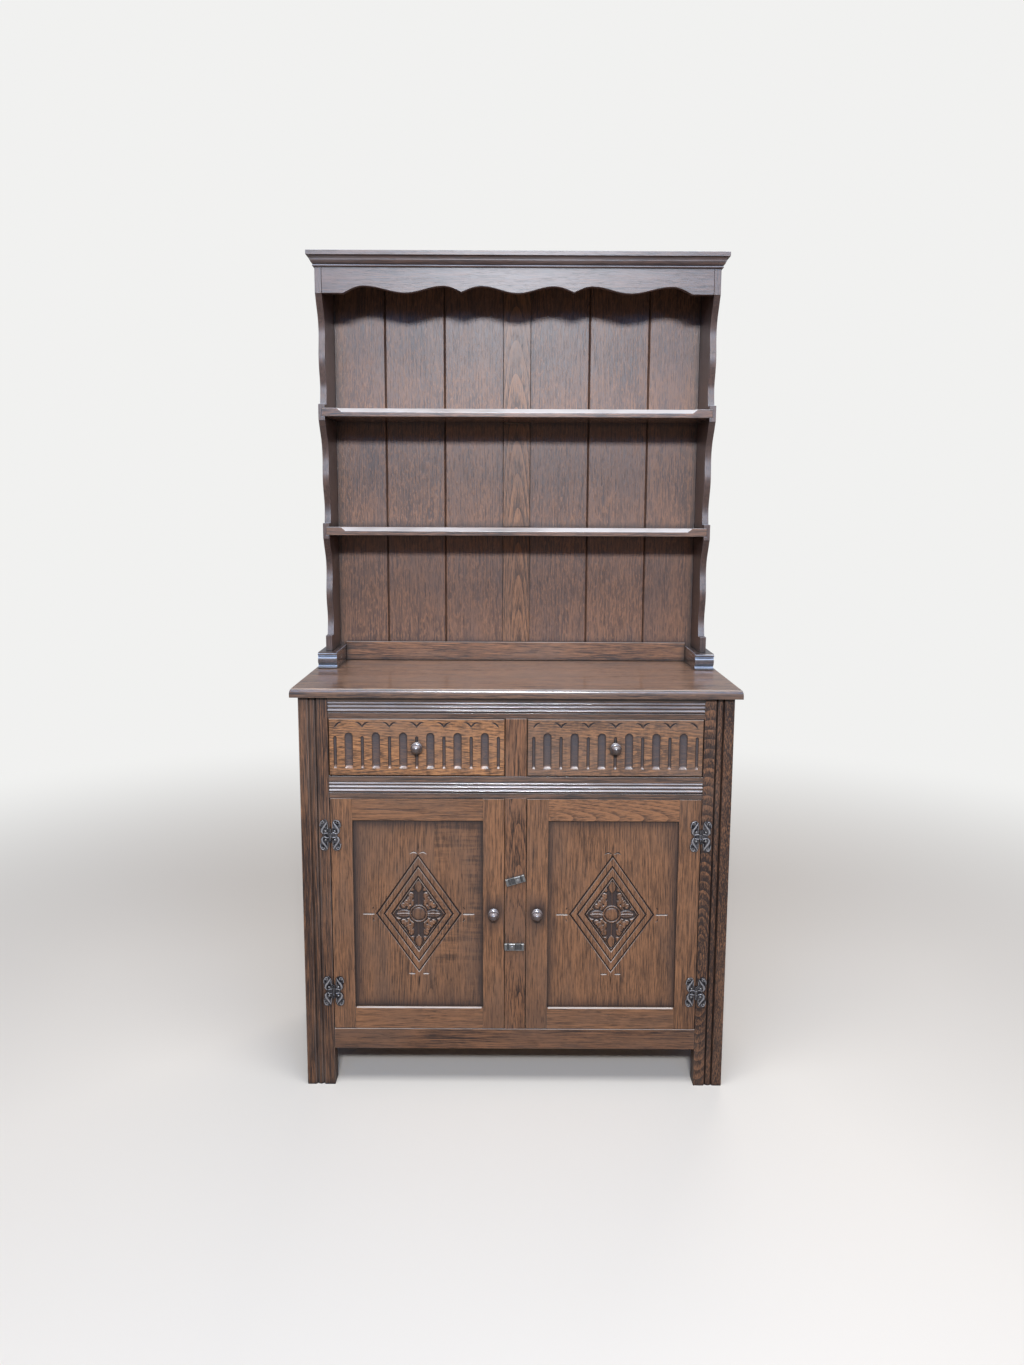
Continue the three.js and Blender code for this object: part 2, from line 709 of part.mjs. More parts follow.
// A V-shaped cut round a diamond, as a ring of triangular section
function diamondCutter(share, x, z, faceY) {
  const slope = Math.hypot(diamondHalfWidth, diamondHalfHeight);
  const rise = diamondCutWidth * half * (diamondCutDepth + overrun) / diamondCutDepth;
  const loops = [[rise, -overrun], [0, diamondCutDepth], [-rise, -overrun]];
  const points = [];
  for (const [spread, depth] of loops) {
    const reachX = diamondHalfWidth * share + spread * slope / diamondHalfHeight;
    const reachZ = diamondHalfHeight * share + spread * slope / diamondHalfWidth;
    for (const [acrossShare, upShare] of diamondCornerShares) {
      points.push(x + reachX * acrossShare, faceY + depth, z + reachZ * upShare);
    }
  }
  const corners = diamondCornerShares.length;
  const index = [];
  for (let loop = 0; loop < loops.length; loop += 1) {
    for (let corner = 0; corner < corners; corner += 1) {
      const nextLoop = (loop + 1) % loops.length;
      const nextCorner = (corner + 1) % corners;
      const a = loop * corners + corner;
      const b = loop * corners + nextCorner;
      const c = nextLoop * corners + nextCorner;
      const d = nextLoop * corners + corner;
      index.push(a, c, b, a, d, c);
    }
  }
  const ring = new THREE.BufferGeometry();
  ring.setAttribute('position', new THREE.Float32BufferAttribute(points, 3));
  ring.setIndex(index);
  return ring;
}

function doorPanel(side) {
  const reach = doorPanelGroove;
  const centreX = side * (panelLeft + panelRight) * half;
  const centreZ = (panelFoot + panelHead) * half;
  return cutFrom(
    block([side * (panelLeft - reach), side * (panelRight + reach)],
      [doorPanelRecess, doorPanelBack], [panelFoot - reach, panelHead + reach]),
    ...diamondShares.map((share) => diamondCutter(share, centreX, centreZ, doorPanelRecess)));
}

// Butterfly hinges on the face: two leaves that meet in a knuckle over the door's gap
const hingeReach = 23;
const hingeHalfHeight = 34;
const hingeLeafThickness = 2;
const hingeKnuckleRadius = 3.3;
const hingeKnuckleHeight = 29;
const hingePinRadius = 1.6;
const hingeKnuckleSides = 12;
const hingeKnuckleCount = 3;
const hingeAxisOut = hingeKnuckleRadius + fit;
const hingeAxisAlong = (legInner + doorRight) * half;
const hingeInset = hingeKnuckleRadius + fit + fit;
const hingeTopInset = 81;
const hingeBottomInset = 86;
// Each pair is a distance from the pin as a share of the leaf's reach and a height as a
// share of its half height
const hingeLeafShares = [
  [0.2, 0.43], [0.2, 0.64], [0.24, 0.85], [0.36, 0.97], [0.55, 1], [0.8, 0.96], [0.93, 0.77],
  [1, 0.58], [0.88, 0.5], [0.9, 0.3], [0.8, 0.15], [0.62, 0.06]];

function hingeLeaf(direction, outerKnuckles) {
  const third = hingeKnuckleHeight / hingeKnuckleCount;
  const end = hingeKnuckleHeight * half;
  const upper = hingeLeafShares.map(([outShare, upShare]) =>
    [hingeReach * outShare, hingeHalfHeight * upShare]);
  const lower = upper.map(([out, up]) => [out, -up]).reverse();
  const outline = [[hingeInset, 0], ...upper, ...lower].map(([out, up]) => [direction * out, up]);
  const plate = alongY(outline, -fit, -fit - hingeLeafThickness);
  const spans = outerKnuckles
    ? [[third * half + fit * half, end], [-end, -third * half - fit * half]]
    : [[-third * half + fit * half, third * half - fit * half]];
  const barrels = spans.map(([bottom, top]) =>
    rod(hingeKnuckleRadius, bottom, top, hingeKnuckleSides).translate(0, -hingeAxisOut, 0));
  const tabs = spans.map(([bottom, top]) => block([0, direction * (hingeInset + overrun)],
    [-fit, -fit - hingeLeafThickness], [bottom, top]));
  const leaf = joined(plate, ...barrels, ...tabs);
  const core = (radius) => rod(radius, -end, end, hingeKnuckleSides).translate(0, -hingeAxisOut, 0);
  return outerKnuckles ? joined(leaf, core(hingePinRadius)) : cutFrom(leaf, core(hingePinRadius + fit));
}

for (const [word, side] of sides) {
  const door = new THREE.Group();
  const knobX = side * (doorLeft + doorKnobInset);
  place(door, `${word}_door_hinge_stile`, doorStile(side, doorRight, panelRight, []), panelOak);
  place(door, `${word}_door_lock_stile`,
    doorStile(side, doorLeft, panelLeft, [knobBore(knobX, doorKnobHeight)]), panelOak);
  place(door, `${word}_door_top_rail`, doorRail(side, panelHead, doorTop), panelOak);
  place(door, `${word}_door_bottom_rail`,
    doorRail(side, doorBottom, panelFoot, doorRailChamfer(side, panelFoot)), panelOak);
  place(door, `${word}_door_panel`, doorPanel(side), panelOak);
  place(door, `${word}_door_knob`, knob(), turnedWood, knobX, 0, doorKnobHeight);
  const heights = [['upper', doorTop - hingeTopInset], ['lower', doorBottom + hingeBottomInset]];
  for (const [level, height] of heights) {
    place(door, `${word}_door_leaf_${level}`, hingeLeaf(-side, false), hingeMetal,
      side * hingeAxisAlong, 0, height);
    place(base, `${word}_frame_leaf_${level}`, hingeLeaf(side, true), hingeMetal,
      side * hingeAxisAlong, 0, height);
  }
  base.add(door);
}

// Plate rack. Its depths are measured forward from the back plane of the whole piece.
const boardThickness = 8;
const muntinThickness = 11;
const muntinHalf = 32;
const rackRailThickness = 8;
const rackRailHeight = 46;
const housingDepth = 7;
const boardRebate = 6;
const topBoardThickness = 12;
const boardFront = caseDepth - boardThickness;
const rackFloor = worktopTop + fit;
const topBoardBottom = rackTop - topBoardThickness;
const fromBack = (depth) => caseDepth - depth;

// The front edge of a rack side between two nosings: a hollow, a swell and a hollow.
// Each pair is a distance down the bay and a distance behind its upper nosing as shares.
const coveDepth = 33;
const nosingHeight = 36;
const bayCurveSteps = 22;
const bayShares = [
  [0, 0.06], [0.08, 0.36], [0.18, 0.8], [0.29, 1], [0.4, 0.93], [0.5, 0.76], [0.58, 0.7],
  [0.67, 0.78], [0.77, 0.98], [0.84, 1.02], [0.92, 0.92], [1, 0.74]];

function bayEdge(top, bottom, frontTop, frontBottom) {
  const knots = bayShares.map(([downShare, behindShare]) => new THREE.Vector2(
    frontTop + (frontBottom - frontTop) * downShare + coveDepth * behindShare,
    top + (bottom - top) * downShare));
  return new THREE.SplineCurve(knots).getPoints(bayCurveSteps).map(({ x, y }) => [x, y]);
}

function rackSideOutline() {
  const topFront = fromBack(rackTopDepth);
  const upperFront = fromBack(upperShelfDepth);
  const lowerFront = fromBack(lowerShelfDepth);
  const footFront = fromBack(rackSideBottomDepth);
  const bottom = rackFloor + rackFootHeight;
  const nosing = (front, shelfBottom) => {
    const middle = shelfBottom + rackShelfThickness * half;
    return [[front, middle + nosingHeight * half], [front, middle - nosingHeight * half]];
  };
  const upperNosing = nosing(upperFront, upperShelfBottom);
  const lowerNosing = nosing(lowerFront, lowerShelfBottom);
  return [
    [caseDepth, topBoardBottom - fit], [topFront, topBoardBottom - fit],
    [topFront, friezeBottom],
    ...bayEdge(friezeBottom - overrun, upperNosing[0][1] + fit, topFront, upperFront),
    ...upperNosing,
    ...bayEdge(upperNosing[1][1] - fit, lowerNosing[0][1] + fit, upperFront, lowerFront),
    ...lowerNosing,
    ...bayEdge(lowerNosing[1][1] - fit, bottom + nosingHeight + fit, lowerFront, footFront),
    [footFront, bottom + nosingHeight], [footFront, bottom + fit], [caseDepth, bottom + fit]];
}

function rackShelfHousing(side, front, bottom) {
  return block([side * (rackSideInner - overrun), side * (rackSideInner + housingDepth + fit)],
    [front - overrun, boardFront + overrun],
    [bottom - fit, bottom + rackShelfThickness + fit]);
}

function rackSide(side) {
  return cutFrom(
    alongX(rackSideOutline(), side * rackSideInner, side * rackHalf),
    rackShelfHousing(side, fromBack(upperShelfDepth), upperShelfBottom),
    rackShelfHousing(side, fromBack(lowerShelfDepth), lowerShelfBottom),
    block([side * (rackSideInner - overrun), side * (rackSideInner + boardRebate + fit)],
      [boardFront - fit, caseDepth + overrun], [worktopBottom, rackTop]));
}

// Feet run the depth of the rack, with a moulded front end
const rackFootWidth = 44;
const rackFootShares = [
  [0.04, 1], [0, 0.93], [0, 0.84], [0.02, 0.8], [0.012, 0.76], [0.03, 0.74], [0.008, 0.66],
  [0, 0.52], [0.006, 0.38], [0.03, 0.28], [0.044, 0.2], [0.03, 0.13], [0, 0.1], [0, 0]];
const rackSideMiddle = rackHalf - rackSideThickness * half;

function rackFoot(side) {
  const front = fromBack(rackFootDepth);
  const back = boardFront - rackRailThickness - fit;
  const outline = rackFootShares.map(([backShare, upShare]) =>
    [front + rackFootDepth * backShare, rackFloor + rackFootHeight * upShare]);
  return alongX([...outline, [back, rackFloor], [back, rackFloor + rackFootHeight]],
    side * (rackSideMiddle - rackFootWidth * half), side * (rackSideMiddle + rackFootWidth * half));
}

// Back of the rack: two panels cut with V joints, tongued into a middle muntin
const boardTongue = 5;
const boardTongueThickness = 4;
const boardJointWidth = 5;
const boardJointDepth = 3.2;
const boardJointShares = [0.345, 0.692];
const boardOuter = rackSideInner + boardRebate;
const backTongueFront = caseDepth - (boardThickness + boardTongueThickness) * half;
const backTongueBack = backTongueFront + boardTongueThickness;

function backPanel(side) {
  const at = (along, depth) => [side * along, depth];
  const joints = boardJointShares.flatMap((share) => {
    const middle = muntinHalf + (boardOuter - muntinHalf) * share;
    return [
      at(middle - boardJointWidth * half, boardFront),
      at(middle, boardFront + boardJointDepth),
      at(middle + boardJointWidth * half, boardFront)];
  });
  return alongZ([
    at(muntinHalf + fit, boardFront), ...joints, at(boardOuter, boardFront),
    at(boardOuter, caseDepth), at(muntinHalf + fit, caseDepth),
    at(muntinHalf + fit, backTongueBack),
    at(muntinHalf - boardTongue + fit, backTongueBack),
    at(muntinHalf - boardTongue + fit, backTongueFront),
    at(muntinHalf + fit, backTongueFront)], rackFloor, topBoardBottom - fit);
}

function backMuntin() {
  const front = caseDepth - muntinThickness;
  const edge = (side) => [
    [side * muntinHalf, front], [side * muntinHalf, backTongueFront - fit],
    [side * (muntinHalf - boardTongue), backTongueFront - fit],
    [side * (muntinHalf - boardTongue), backTongueBack + fit],
    [side * muntinHalf, backTongueBack + fit], [side * muntinHalf, caseDepth]];
  const bar = alongZ([...edge(1), ...edge(-1).reverse()], rackFloor, topBoardBottom - fit);
  const clearFor = (shelfFront, bottom, top) => block(
    [-muntinHalf - overrun, muntinHalf + overrun], [shelfFront, boardFront + fit],
    [bottom - fit, top + fit]);
  return cutFrom(bar,
    clearFor(0, worktopBottom, worktopTop + rackRailHeight),
    clearFor(0, lowerShelfBottom, lowerShelfTop),
    clearFor(0, upperShelfBottom, upperShelfTop));
}

for (const [word, side] of sides) {
  place(rack, `rack_side_${word}`, rackSide(side), darkOak);
  place(rack, `rack_foot_${word}`, rackFoot(side), darkOak);
  place(rack, `rack_back_panel_${word}`, backPanel(side), panelOak);
}
place(rack, 'rack_back_muntin', backMuntin(), panelOak);
place(rack, 'rack_bottom_rail', block(
  [-rackSideMiddle + rackFootWidth * half + fit, rackSideMiddle - rackFootWidth * half - fit],
  [boardFront - rackRailThickness, boardFront - fit],
  [rackFloor, worktopTop + rackRailHeight]), darkOak);

// Rack shelves, housed in the sides, with a chamfer that stops short of each end
const shelfChamfer = 8;
const shelfChamferStop = 20;

function rackShelf(depth, bottom) {
  const front = fromBack(depth);
  const top = bottom + rackShelfThickness;
  const reach = rackSideInner + housingDepth;
  const stop = rackSideInner - shelfChamferStop;
  return cutFrom(
    block([-reach, reach], [front, boardFront - fit], [bottom, top]),
    alongX([[front - overrun, top - shelfChamfer - overrun], [front - overrun, top + overrun],
      [front + shelfChamfer + overrun, top + overrun]], -stop, stop));
}
place(rack, 'rack_shelf_upper', rackShelf(upperShelfDepth, upperShelfBottom), darkOak);
place(rack, 'rack_shelf_lower', rackShelf(lowerShelfDepth, lowerShelfBottom), darkOak);

// Frieze between the sides. Its lower edge is cut in humps, with a cusp either side of
// the middle and smooth dips between the others.
const friezeThickness = 15;
const friezeHump = 16;
const friezeHalf = rackSideInner - fit;
const friezeSpanSteps = 6;
// Places out from the middle as shares of the half width, with the cut's height there as
// a share of the hump and true where the edge turns at a point
const friezeShares = [
  [0, 0.08, false], [0.184, 1, false], [0.288, 0.2, true], [0.382, 1, false],
  [0.575, 0.08, false], [0.787, 1, false], [0.89, 0, true]];

// Height along one span: a full wave between smooth places, half of one up to a point
function friezeRise(from, to, share) {
  if (from[2]) {
    return from[1] + (to[1] - from[1]) * Math.sin(Math.PI * half * share);
  }
  if (to[2]) {
    return to[1] + (from[1] - to[1]) * Math.cos(Math.PI * half * share);
  }
  return from[1] + (to[1] - from[1]) * (1 - Math.cos(Math.PI * share)) * half;
}

function friezeEdge() {
  const points = [[0, friezeBottom + friezeHump * friezeShares[0][1]]];
  for (let span = 1; span < friezeShares.length; span += 1) {
    const from = friezeShares[span - 1];
    const to = friezeShares[span];
    for (let step = 1; step <= friezeSpanSteps; step += 1) {
      const share = step / friezeSpanSteps;
      points.push([friezeHalf * (from[0] + (to[0] - from[0]) * share),
        friezeBottom + friezeHump * friezeRise(from, to, share)]);
    }
  }
  points.push([friezeHalf, friezeBottom]);
  return points;
}

function frieze() {
  const right = friezeEdge();
  const left = right.slice(1).map(([x, z]) => [-x, z]).reverse();
  const top = topBoardBottom - fit;
  const front = fromBack(rackTopDepth);
  return alongY([...left, ...right, [friezeHalf, top], [-friezeHalf, top]],
    front, front + friezeThickness);
}
place(rack, 'frieze', frieze(), darkOak);

// Cornice: a top board with a moulding mitred round its front and ends.
// Each pair is a distance out and a distance down, as shares of overhang and height.
const corniceShares = [
  [1, 0], [1, 0.29], [0.8, 0.3], [0.68, 0.34], [0.6, 0.41], [0.56, 0.52], [0.56, 0.58],
  [0.5, 0.6], [0.44, 0.68], [0.32, 0.76], [0.18, 0.81], [0.1, 0.84], [0.22, 0.87],
  [0.26, 0.91], [0.2, 0.96], [0.1, 1]];

function cornice() {
  const front = fromBack(rackTopDepth);
  const edge = corniceShares.map(([outShare, downShare]) =>
    [fit + corniceOverhang * outShare, rackTop - corniceHeight * downShare]);
  const frontEdge = edge.map(([out, height]) => [front - out, height]);
  const rightEdge = edge.map(([out, height]) => [rackHalf + out, height]);
  const leftEdge = edge.map(([out, height]) => [-rackHalf - out, height]).reverse();
  const outer = rackHalf + corniceOverhang + overrun;
  const mould = common(
    alongX([...frontEdge, [caseDepth, corniceBottom], [caseDepth, rackTop]], -outer, outer),
    alongY([...rightEdge, ...leftEdge], front - corniceOverhang - overrun, caseDepth));
  return cutFrom(mould, block([-rackHalf - fit, rackHalf + fit], [front - fit, caseDepth + overrun],
    [corniceBottom - overrun, topBoardBottom]));
}
place(rack, 'cornice', cornice(), darkOak);

// The origin is the middle of the finished dresser's base
const extent = new THREE.Box3().setFromObject(dresser);
dresser.position.set(-(extent.min.x + extent.max.x) * half, -(extent.min.y + extent.max.y) * half, 0);

export default dresser;
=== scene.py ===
# Oak welsh dresser with a plate rack, finished piece by piece in the order it is put together.
# Metres, +Z up, the front faces -Y and the origin is the middle of the base.
import json
import math
import random

import bmesh
import bpy
from mathutils import Matrix, Vector
from mathutils.geometry import delaunay_2d_cdt

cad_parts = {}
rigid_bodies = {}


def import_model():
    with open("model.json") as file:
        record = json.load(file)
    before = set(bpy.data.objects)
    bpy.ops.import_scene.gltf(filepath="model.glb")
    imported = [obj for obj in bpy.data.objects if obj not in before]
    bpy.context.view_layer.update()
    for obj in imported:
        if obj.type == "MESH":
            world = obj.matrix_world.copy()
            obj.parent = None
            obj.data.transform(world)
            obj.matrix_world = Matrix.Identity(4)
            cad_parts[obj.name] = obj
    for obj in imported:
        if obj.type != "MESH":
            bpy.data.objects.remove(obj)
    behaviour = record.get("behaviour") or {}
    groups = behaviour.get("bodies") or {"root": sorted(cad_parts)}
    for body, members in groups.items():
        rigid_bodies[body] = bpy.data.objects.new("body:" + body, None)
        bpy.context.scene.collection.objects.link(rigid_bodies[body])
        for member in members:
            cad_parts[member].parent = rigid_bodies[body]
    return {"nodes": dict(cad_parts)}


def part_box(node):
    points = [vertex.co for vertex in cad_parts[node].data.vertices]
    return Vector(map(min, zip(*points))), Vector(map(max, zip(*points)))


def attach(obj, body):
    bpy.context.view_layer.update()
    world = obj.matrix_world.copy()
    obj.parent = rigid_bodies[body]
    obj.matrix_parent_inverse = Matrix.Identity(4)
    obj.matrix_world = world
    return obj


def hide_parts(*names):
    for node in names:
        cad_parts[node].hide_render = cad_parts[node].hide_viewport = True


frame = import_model()
for unused in [o for o in bpy.context.scene.objects if o.name in ("Cube", "Light", "Camera")]:
    bpy.data.objects.remove(unused)
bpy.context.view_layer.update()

# Camera. It stands two and a half metres off at eye height and looks slightly down, as the
# picture does. The lens is worked out from the picture's long side.
picture_height = 1365
focal_pixels = 1081.2
camera_place = Vector((-0.0114, -2.4448, 1.2646))
camera_down, camera_turn, camera_roll = (math.radians(a) for a in (9.05, 0.054, 0.257))
camera_data = bpy.data.cameras.new("picture_camera")
camera_data.sensor_width = 36.0
camera_data.lens = camera_data.sensor_width * focal_pixels / picture_height
camera = bpy.data.objects.new("picture_camera", camera_data)
bpy.context.scene.collection.objects.link(camera)
bpy.context.scene.camera = camera
level = Matrix.Rotation(-camera_turn, 4, "Z") @ Matrix.Rotation(math.pi / 2 - camera_down, 4, "X")
camera.matrix_world = Matrix.Translation(camera_place) @ level @ Matrix.Rotation(camera_roll, 4, "Z")

# Studio. A wide cool lamp in front casts the shadows under the shelves, two small blue ones put
# the sheen on the frieze, one overhead lights the tops and one behind lights the back. The pale
# floor fades into the pale room and throws back a little warm light.
scene = bpy.context.scene
scene.view_settings.view_transform = "Standard"


def soft_lamp(name, place, aim, size, watts, colour):
    lamp_data = bpy.data.lights.new(name, "AREA")
    lamp_data.shape = "RECTANGLE"
    lamp_data.size, lamp_data.size_y = size
    lamp_data.energy = watts
    lamp_data.color = colour
    lamp = bpy.data.objects.new(name, lamp_data)
    scene.collection.objects.link(lamp)
    lamp.location = place
    lamp.rotation_mode = "QUATERNION"
    lamp.rotation_quaternion = (Vector(aim) - Vector(place)).to_track_quat("-Z", "Y")


soft_lamp("front_lamp", (0.0, -4.0, 2.68), (0.0, 0.0, 1.0), (0.9, 0.3), 145, (0.86, 0.92, 1.0))
sides = (("left", -1), ("right", 1))
for word, side in sides:
    soft_lamp(f"sheen_lamp_{word}", (1.05 * side, -3.2, 2.35), (0.0, 0.0, 1.6), (1.0, 0.5), 11,
              (0.2, 0.46, 1.0))
soft_lamp("top_lamp", (0.0, -1.1, 3.1), (0.0, -0.2, 0.8), (2.4, 1.2), 62, (0.86, 0.93, 1.0))
soft_lamp("back_lamp", (0.6, 2.9, 4.0), (0.0, 0.2, 0.9), (2.4, 1.2), 60, (1.0, 0.98, 0.96))

room_white = (0.88, 0.88, 0.87, 1)
glossy_share = 0.25


def add_node(tree, kind, values=(), operation=None):
    """A new shader node. Each value is set on its socket, and the output of a node is joined to it."""
    made = tree.nodes.new("ShaderNode" + kind)
    if operation:
        made.operation = operation
    if kind == "Mix":
        made.data_type = "RGBA"
    for socket, value in dict(values).items():
        if isinstance(value, bpy.types.NodeSocket):
            tree.links.new(value, made.inputs[socket])
        else:
            made.inputs[socket].default_value = value
    return made


def new_material(name):
    """A new material, its node tree and its shader."""
    material = bpy.data.materials.new(name)
    material.use_nodes = True
    return material, material.node_tree, material.node_tree.nodes["Principled BSDF"]


def pale_share(tree):
    """How much of the pale studio a ray sees: all of it for the camera and glass, a part for gloss."""
    rays = add_node(tree, "LightPath").outputs
    gloss = add_node(tree, "Math", {0: rays["Is Glossy Ray"], 1: glossy_share}, "MULTIPLY")
    clear = add_node(tree, "Math", {0: rays["Is Camera Ray"], 1: rays["Is Transmission Ray"]}, "MAXIMUM")
    return add_node(tree, "Math", {0: gloss.outputs[0], 1: clear.outputs[0]}, "MAXIMUM").outputs[0]


world = bpy.data.worlds.new("studio")
scene.world = world
world.use_nodes = True
room = world.node_tree
room.nodes.clear()
room_light = add_node(room, "Background", {"Color": (0.55, 0.65, 1.0, 1), "Strength": 0.1})
pale_room = add_node(room, "Background", {"Color": room_white})
room_mix = add_node(room, "MixShader", {"Fac": pale_share(room), 1: room_light.outputs[0],
                                        2: pale_room.outputs[0]})
add_node(room, "OutputWorld", {"Surface": room_mix.outputs[0]})

floor_reach = 14.0
fade_start, fade_end = 1.0, 3.6
floor_data = bpy.data.meshes.new("studio_floor")
floor_corners = [(x * floor_reach, y * floor_reach, 0.0) for x, y in ((-1, -1), (1, -1), (1, 1), (-1, 1))]
floor_data.from_pydata(floor_corners, [], [(0, 1, 2, 3)])
floor = bpy.data.objects.new("studio_floor", floor_data)
scene.collection.objects.link(floor)
floor_paint, floor_tree, paint = new_material("pale floor")
floor_data.materials.append(floor_paint)
paint.inputs["Roughness"].default_value = 0.8
floor_seen, floor_spot = pale_share(floor_tree), add_node(floor_tree, "TexCoord")
floor_colour = add_node(floor_tree, "Mix", {0: floor_seen, 6: (0.24, 0.2, 0.17, 1),
                                            7: (0.86, 0.77, 0.67, 1)})
floor_tree.links.new(floor_colour.outputs[2], paint.inputs["Base Color"])
far_floor = add_node(floor_tree, "Emission", {"Color": room_white})
floor_length = add_node(floor_tree, "VectorMath", {0: floor_spot.outputs["Object"]}, "LENGTH")
floor_fade = add_node(floor_tree, "MapRange", {"Value": floor_length.outputs["Value"],
                                               "From Min": fade_start, "From Max": fade_end})
floor_fade.interpolation_type = "SMOOTHSTEP"
seen_far = add_node(floor_tree, "Math", {0: floor_fade.outputs[0], 1: floor_seen}, "MULTIPLY")
floor_mix = add_node(floor_tree, "MixShader", {"Fac": seen_far.outputs[0], 1: paint.outputs[0],
                                               2: far_floor.outputs[0]})
floor_tree.links.new(floor_mix.outputs[0], floor_tree.nodes["Material Output"].inputs["Surface"])

# Front and rear legs. Each is one length of straight-grained oak, stained dark; the front
# legs have a sunk band between two quirks, which collects polish and whose corners get painted
# shade. The helpers that lay the grain into a board and that make stained oak are here, where they are
# first needed.
mm = 0.001


def new_piece(mesh, body, slot, material, *nodes):
    """An object for a finished mesh, which rides on its body in place of its CAD nodes."""
    piece = bpy.data.objects.new(mesh.name, mesh)
    scene.collection.objects.link(piece)
    mesh.materials.append(material)
    piece.modifiers.new("true_flats", "WEIGHTED_NORMAL").keep_sharp = True
    if nodes:
        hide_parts(*nodes)
    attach(piece, body)
    return piece


def lay_grain(mesh, along, seed, pith=(0.0, 0.05), tilt=0.02, tone=0.0, film=0.0, ripple=(0.0,),
              arched=(0.0,), joints=()):
    """Stores where each corner lies in its log: across and behind the pith, and along the grain."""
    axes = {"x": (2, 1, 0), "y": (0, 2, 1), "z": (0, 1, 2)}[along]
    middle = [sum(v.co[k] for v in mesh.vertices) / len(mesh.vertices) for k in range(3)]
    rng = random.Random(seed)
    logs = [(rng.uniform(0, 40), rng.uniform(-0.02, 0.02), rng.uniform(-0.08, 0.08),
             rng.uniform(-0.006, 0.006)) for _ in range(len(joints) + 1)]
    places, finishes, arches = [], [], []
    for face in mesh.polygons:
        log = sum(1 for x in joints if face.center.x > x)
        start, lean, shade, shift = logs[log]
        for corner in face.loop_indices:
            spot = mesh.vertices[mesh.loops[corner].vertex_index].co
            across, behind, length = (spot[k] - middle[k] for k in axes)
            places += (across - pith[0] + shift - length * lean, behind + pith[1] + length * tilt,
                       length + start)
            finishes += (tone + shade, film, ripple[log % len(ripple)])
            arches.append(arched[log % len(arched)])
    mesh.attributes.new("grain", "FLOAT_VECTOR", "CORNER").data.foreach_set("vector", places)
    mesh.attributes.new("finish", "FLOAT_VECTOR", "CORNER").data.foreach_set("vector", finishes)
    mesh.attributes.new("arched", "FLOAT", "CORNER").data.foreach_set("value", arches)


def soften(bm, width, steps=2, least=30):
    """Rounds the arrises of a board and marks the rounded strips, where the finish is rubbed and, where
    they face up, a highlight is painted.
    """
    sharp = [e for e in bm.edges if e.is_manifold and e.calc_face_angle(0) > math.radians(least)]
    rubbed = bm.faces.layers.float.new("rubbed")
    made = bmesh.ops.bevel(bm, geom=sharp, offset=width, offset_type="OFFSET", segments=steps,
                           profile=0.6, affect="EDGES", clamp_overlap=True)
    for face in made["faces"]:
        face[rubbed] = 1.0


def finish_mesh(bm, name, crease=38):
    """A mesh with smooth curves and crisp corners."""
    mesh = bpy.data.meshes.new(name)
    bm.to_mesh(mesh)
    bm.free()
    mesh.polygons.foreach_set("use_smooth", [True] * len(mesh.polygons))
    mesh.set_sharp_from_angle(angle=math.radians(crease))
    return mesh


def solid_of(node):
    """The shape of a CAD node, with its corners joined and its flat faces whole."""
    bm = bmesh.new()
    bm.from_mesh(frame["nodes"][node].data)
    bmesh.ops.remove_doubles(bm, verts=bm.verts, dist=0.01 * mm)
    bmesh.ops.dissolve_limit(bm, angle_limit=math.radians(1.0), verts=bm.verts, edges=bm.edges)
    return bm


darkening_cuts = (-1.0, -0.7, -0.4, -0.15, 0.15, 0.4, 0.7, 1.0)
darkening_tall = 1.4
darkening_skin = 2 * mm


def darken_round(bm, marks):
    """Darkens the face of a board round each mark: a place, a reach and a strength, in millimetres."""
    dark = bm.verts.layers.float.new("sunk")
    for x, z, reach, _ in marks:
        for share in darkening_cuts:
            upright = ((x + share * reach, 0, 0), (1, 0, 0))
            level_cut = ((0, 0, z + darkening_tall * share * reach), (0, 0, 1))
            for spot, way in (upright, level_cut):
                bmesh.ops.bisect_plane(bm, geom=bm.verts[:] + bm.edges[:] + bm.faces[:], plane_no=way,
                                       plane_co=[mm * k for k in spot])
    front = min(v.co.y for v in bm.verts)
    for v in bm.verts:
        for x, z, reach, strength in marks:
            away = math.hypot(v.co.x / mm - x, (v.co.z / mm - z) / darkening_tall) / reach
            if away < 1 and v.co.y < front + darkening_skin:
                v[dark] = max(v[dark], strength * (1 - away))


def board(node, slot, material, along, seed, width=1.2 * mm, body="root", marks=(), moved=(), **log):
    """A finished board that takes its joinery and size from its CAD node, with a few corners moved."""
    bm = solid_of(node)
    for place, new_place in moved:
        corner = min(bm.verts, key=lambda v: (v.co / mm - Vector(place)).length)
        corner.co = Vector(new_place) * mm
    soften(bm, width)
    darken_round(bm, marks)
    mesh = finish_mesh(bm, node + "_board")
    lay_grain(mesh, along, seed, **log)
    return new_piece(mesh, body, slot, material, node)


